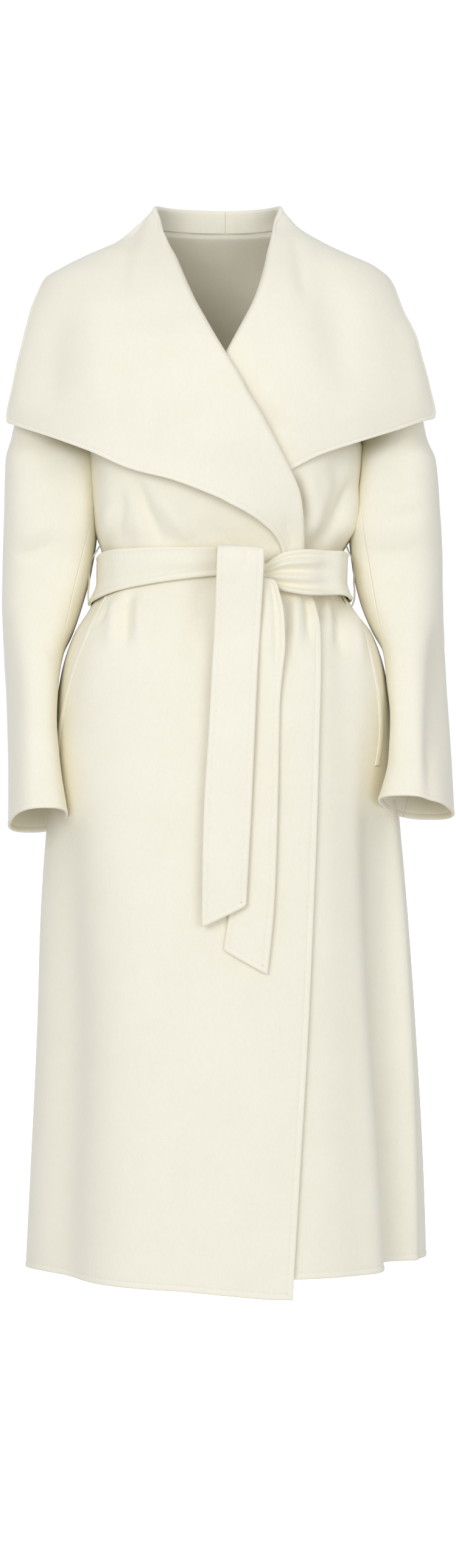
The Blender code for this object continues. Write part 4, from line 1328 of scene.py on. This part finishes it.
class COAT_OT_sleeves(bpy.types.Operator):
    """Make the two-piece sleeves"""

    bl_idname = "coat.sleeves"
    bl_label = "Sleeves"

    def execute(self, context):
        cloth = context.scene.coat_sizes.cloth
        sides = (
            ("right", -1, SLEEVE_RIGHT, CREASES_SLEEVE_RIGHT),
            ("left", 1, SLEEVE_LEFT, CREASES_SLEEVE_LEFT),
        )
        for word, side, table, creases in sides:
            for part, upper in (("top", True), ("under", False)):
                face = creased(sleeve_face(side, table, upper), creases)
                settle(shell(f"{word}_{part}_sleeve", face, cloth, ("top",)))
        return {"FINISHED"}


# --- belt ---------------------------------------------------------------------------------------


def belt_face():
    """The belt's outer face round the waist. Pleats run along it near the tie: a cosine across its
    width, growing towards the tie on both sides."""
    rows, columns = GRIDS["belt"]
    angle = np.linspace(BELT_STRETCH[-1][0], BELT_STRETCH[0][0], columns)[None, :]
    steps = RIM_STEPS / BELT_WIDTH * BELT_RIM
    share = spread(np.zeros(1), np.ones(1), steps[None], steps[None], rows)[0][:, None]
    top, bottom = read(BELT_STRETCH, angle, 1), read(BELT_STRETCH, angle, 2)
    lift = read(BELT_STRETCH, angle, 3)
    pleats = 0.0
    for turn, start, reach, depth, number, phase in BELT_PLEATS:
        near_tie = soft_step(turn * (angle - start) / reach)
        pleats = pleats + depth * near_tie * np.cos(2.0 * math.pi * (number * share + phase))
    pleats = pleats * (top - bottom) / BELT_WIDTH
    crown = BELT_CROWN * (1.0 - (2.0 * share - 1.0) ** 2)
    height = bottom + (top - bottom) * share
    return body(angle, height, lift + pleats + crown)


def end_face(table, rows, columns):
    """A belt end's outer face: its edges' heights and places smooth along its length, crowned a little
    across its width."""
    table = np.array(table)
    middle = np.stack([table[:, :2].mean(1), -table[:, 2], table[:, 3:].mean(1)], axis=1)
    knots = added_up(np.linalg.norm(np.diff(middle, axis=0), axis=1))
    at = spread(np.zeros(1), knots[-1:], np.zeros((1, 1)), RIM_STEPS[None], rows)[0]
    right, left, ahead, right_height, left_height = np.split(smooth(knots, table, at), table.shape[1], axis=1)
    wide = left - right
    steps = RIM_STEPS[None] / wide
    share = spread(np.zeros(len(at)), np.ones(len(at)), steps, steps, columns)
    across = right + wide * share
    height = right_height + (left_height - right_height) * share
    corner = np.abs(2.0 * share - 1.0) ** 3
    from_tie, to_end = at[:, None] - at[0], at[-1] - at[:, None]
    height = height - CORNER_DROOP * corner * soft_step((DROOP_FADE[0] - from_tie) / DROOP_FADE[1])
    height = height + CORNER_LIFT * corner**4 * soft_step((LIFT_REACH - to_end) / LIFT_REACH)
    back = -ahead + END_CROWN * (2.0 * share - 1.0) ** 2
    return np.stack([across, back, height], axis=-1)[::-1]


def knot_points(rings, segments):
    """The tie's bundle: an ellipsoid whose radius waves round its long axis, like gathered cloth."""
    down = np.linspace(0.0, math.pi, rings)[:, None]
    round_it = np.linspace(0.0, 2.0 * math.pi, segments, endpoint=False)[None, :]
    rise, gathers, winding = KNOT_WAVE
    wave = 1.0 + rise * np.sin(down) * np.cos(gathers * round_it + winding * down)
    x = np.cos(down) + 0.0 * round_it
    y = np.sin(down) * np.cos(round_it) * wave
    z = np.sin(down) * np.sin(round_it) * wave
    return np.stack([x, y, z], axis=-1) * np.array(KNOT_RADII) + np.array(KNOT_CENTRE)


class COAT_OT_belt(bpy.types.Operator):
    """Make the belt, its tie and its two hanging ends"""

    bl_idname = "coat.belt"
    bl_label = "Belt"

    def execute(self, context):
        cloth = context.scene.coat_sizes.belt_cloth
        ends = (
            ("front", BELT_END_FRONT, CREASES_END_FRONT),
            ("under", BELT_END_UNDER, CREASES_END_UNDER),
        )
        settle(shell("waist_belt", belt_face(), cloth, ("bottom", "top"), BELT_RIM))
        for word, table, creases in ends:
            face = creased(end_face(table, *GRIDS[f"{word}_end"]), creases)
            settle(shell(f"{word}_belt_end", face, cloth, ("start", "end", "bottom")))
        self.make_tie()
        return {"FINISHED"}

    def make_tie(self):
        """The tie's rounded bundle, closed at both ends by fans of triangles."""
        rings, segments = GRIDS["tie"]
        grid = knot_points(rings, segments)
        points = np.concatenate([grid[:1, 0], grid[1:-1].reshape(-1, 3), grid[-1:, 0]])
        ring = 1 + np.arange((rings - 2) * segments).reshape(rings - 2, segments)
        turned = np.roll(ring, -1, axis=1)
        sides = np.stack([ring[:-1], ring[1:], turned[1:], turned[:-1]], axis=-1).reshape(-1, 4)
        last = np.full(segments, len(points) - 1)
        mesh = bpy.data.meshes.new("belt_tie")
        faces = sides.tolist()
        faces += np.stack([np.zeros(segments, int), ring[0], turned[0]], axis=-1).tolist()
        faces += np.stack([last, turned[-1], ring[-1]], axis=-1).tolist()
        mesh.from_pydata(points.tolist(), [], faces)
        mesh.shade_smooth()
        tie = add_object("belt_tie", mesh)
        dress(tie, "belt_knot")


# --- carriers and pockets -----------------------------------------------------------------------


def carrier_face(side):
    """A carrier's outer face: a narrow strip on a smooth path that bows out over the belt."""
    rows, columns = GRIDS["carrier"]
    path = np.array(CARRIER_PATH)[::-1]
    at = np.linspace(0.0, 1.0, rows)
    fine = smooth(np.linspace(0.0, 1.0, len(path)), path, at)
    angle = side * CARRIER_ANGLE + np.linspace(-CARRIER_HALF, CARRIER_HALF, columns)[None, :]
    return body(angle, fine[:, 0:1] + 0.0 * angle, fine[:, 1:2] + 0.0 * angle)


def lip_face(side, column, lift):
    """A pocket lip's outer face: a strip beside the pocket's slanted line."""
    rows, columns = GRIDS["lip"]
    height = np.linspace(POCKET_LINE[-1][0], POCKET_LINE[0][0], rows)[:, None]
    share = np.linspace(0.0, 1.0, columns)[None, :]
    angle = read(POCKET_LINE, height, column) + side * POCKET_LIP_DEGREES * share
    if side < 0:
        angle = angle[:, ::-1]
    height = height + 0.0 * angle
    rise = POCKET_LIP_LIFT + POCKET_LIP_CROWN * np.sin(math.pi * share)
    return body(angle, height, rise + lift(angle, height))


class COAT_OT_trim(bpy.types.Operator):
    """Make the belt carriers and the pocket lips"""

    bl_idname = "coat.trim"
    bl_label = "Carriers and pocket lips"

    def execute(self, context):
        thin = context.scene.coat_sizes.thin_cloth
        for word, side in (("right", -1), ("left", 1)):
            settle(shell(f"{word}_carrier", carrier_face(side), CARRIER_BULK * thin, ()))
        settle(shell("right_pocket_lip", lip_face(-1, RIGHT, overlap_lift), thin, ()))
        settle(shell("left_pocket_lip", lip_face(1, LEFT, no_lift), thin, ()))
        return {"FINISHED"}


# --- stage --------------------------------------------------------------------------------------


def area_light(name, place, width, height, power):
    """A soft box that faces the lit point."""
    light = bpy.data.lights.new(name, "AREA")
    light.shape = "RECTANGLE"
    light.size, light.size_y, light.energy = width, height, power
    light.color = COOL_WHITE[:3]
    lamp = add_object(name, light)
    lamp.location = place
    direction = unit(np.array(place) - np.array(LIT_POINT))
    pitch = math.acos(direction[2])
    lamp.rotation_euler = (pitch, 0.0, math.atan2(direction[1], direction[0]) + math.pi / 2)


class COAT_OT_stage(bpy.types.Operator):
    """Make the pale floor, the soft lights and the camera"""

    bl_idname = "coat.stage"
    bl_label = "Stage"

    def execute(self, context):
        self.make_floor(context)
        self.make_world(context)
        for row in LIGHTS:
            area_light(*row)
        camera = bpy.data.cameras.new("camera")
        camera.sensor_width = SENSOR
        camera.lens = SENSOR * VIEW_DISTANCE / VIEW_TALL
        holder = add_object("camera", camera)
        holder.location = (VIEW_CENTRE[0], -VIEW_DISTANCE, VIEW_CENTRE[1])
        holder.rotation_euler = (math.pi / 2, 0.0, 0.0)
        context.scene.camera = holder
        context.scene.view_settings.view_transform = "Standard"
        return {"FINISHED"}

    def make_floor(self, context):
        """A pale floor that is level under the coat, and gives its own light."""
        corners = np.array(((-1, -1), (1, -1), (1, 1), (-1, 1))) * FLOOR_HALF
        points = np.column_stack([corners, np.full(4, context.scene.coat_sizes.floor)])
        floor = mesh_object("floor", points, np.array([[0, 1, 2, 3]]))
        shader = Shader(bpy.data.materials.new("pale_floor"))
        tone = context.scene.coat_colours.floor
        shader.fill(shader.surface, {"Base Color": tone, "Emission Color": tone, **FLOOR_SURFACE})
        floor.data.materials.append(shader.owner)
        floor.visible_diffuse = False

    def make_world(self, context):
        """White all round for the eye, and a softer light on the coat, which grows from front to back."""
        context.scene.world = bpy.data.worlds.new("studio")
        sky = Shader(context.scene.world, "Background")
        around = sky.node("ShaderNodeTexCoord", {}, {}).outputs["Generated"]
        facing = sky.node("ShaderNodeVectorMath", {"operation": "DOT_PRODUCT"}, {0: around, 1: SKY_TOWARDS})
        glow = sky.node("ShaderNodeMapRange", {}, {"Value": facing.outputs["Value"], **SKY_RANGE})
        seen = sky.node("ShaderNodeLightPath", {}, {}).outputs["Is Camera Ray"]
        levels = dict(zip(MIX_NUMBERS, (glow.outputs["Result"], SKY_SEEN)))
        strength = sky.node("ShaderNodeMix", {}, {MIX_FACTOR: seen, **levels})
        sky.fill(sky.surface, {"Strength": strength.outputs[MIXED_NUMBER], "Color": COOL_WHITE})


# --- add-on -------------------------------------------------------------------------------------


def size_setting(name, description, default):
    """A property that holds a length in metres."""
    return bpy.props.FloatProperty(name=name, description=description, default=default, unit="LENGTH")


def colour_setting(name, description, default):
    """A property that holds a colour."""
    return bpy.props.FloatVectorProperty(
        name=name, description=description, default=default, size=4, subtype="COLOR"
    )


class CoatSizes(bpy.types.PropertyGroup):
    """Sizes that a user would change."""

    cloth: size_setting("Cloth", "Thickness of the double-faced wool", 0.0025)
    belt_cloth: size_setting("Belt cloth", "Thickness of the belt", 0.0040)
    thin_cloth: size_setting("Trim cloth", "Thickness of carriers and lips", 0.0012)
    rim_width: size_setting("Rim width", "Width of the turned-in edges", 0.0056)
    rim_rise: size_setting("Rim rise", "How far a turned-in edge swells", 0.00045)
    groove: size_setting("Groove", "Depth of the groove beside a rim", 0.0003)
    stitch: size_setting("Stitch", "Length of a felling stitch", 0.0065)
    floor: size_setting("Floor", "Height of the floor", -1.52)


class CoatColours(bpy.types.PropertyGroup):
    """Colours that a user would change."""

    wool: colour_setting("Wool", "Colour of the wool's raised fibres", (0.955, 0.897, 0.705, 1.0))
    # Darker end of the wool's random grain tone; along the rims' grooves and stitches it is also painted
    # shade.
    wool_grain_and_groove_shade: colour_setting("Wool shade", "Colour between the fibres", (0.869, 0.800, 0.600, 1.0))
    floor: colour_setting("Floor", "Colour of the floor", (1.0, 1.0, 1.0, 1.0))


class COAT_PT_panel(bpy.types.Panel):
    """The coat's sizes, colours and pieces"""

    bl_idname = "COAT_PT_panel"
    bl_label = "Wrap coat"
    bl_space_type = "VIEW_3D"
    bl_region_type = "UI"
    bl_category = "Coat"

    def draw(self, context):
        layout = self.layout
        for group in (context.scene.coat_sizes, context.scene.coat_colours):
            for key in group.__annotations__:
                layout.prop(group, key)
        for operator in OPERATORS:
            layout.operator(operator.bl_idname)


OPERATORS = (
    COAT_OT_stage,
    COAT_OT_fronts,
    COAT_OT_back,
    COAT_OT_collar,
    COAT_OT_sleeves,
    COAT_OT_belt,
    COAT_OT_trim,
)
CLASSES = (CoatSizes, CoatColours, *OPERATORS, COAT_PT_panel)


def register():
    """Add the classes and the scene's settings."""
    for entry in CLASSES:
        bpy.utils.register_class(entry)
    bpy.types.Scene.coat_sizes = bpy.props.PointerProperty(type=CoatSizes)
    bpy.types.Scene.coat_colours = bpy.props.PointerProperty(type=CoatColours)


def unregister():
    """Take them away again."""
    del bpy.types.Scene.coat_colours
    del bpy.types.Scene.coat_sizes
    for entry in reversed(CLASSES):
        bpy.utils.unregister_class(entry)


def main():
    """Make the stage and every piece."""
    register()
    for operator in OPERATORS:
        group, name = operator.bl_idname.split(".")
        getattr(getattr(bpy.ops, group), name)()


if __name__ == "__main__":
    main()
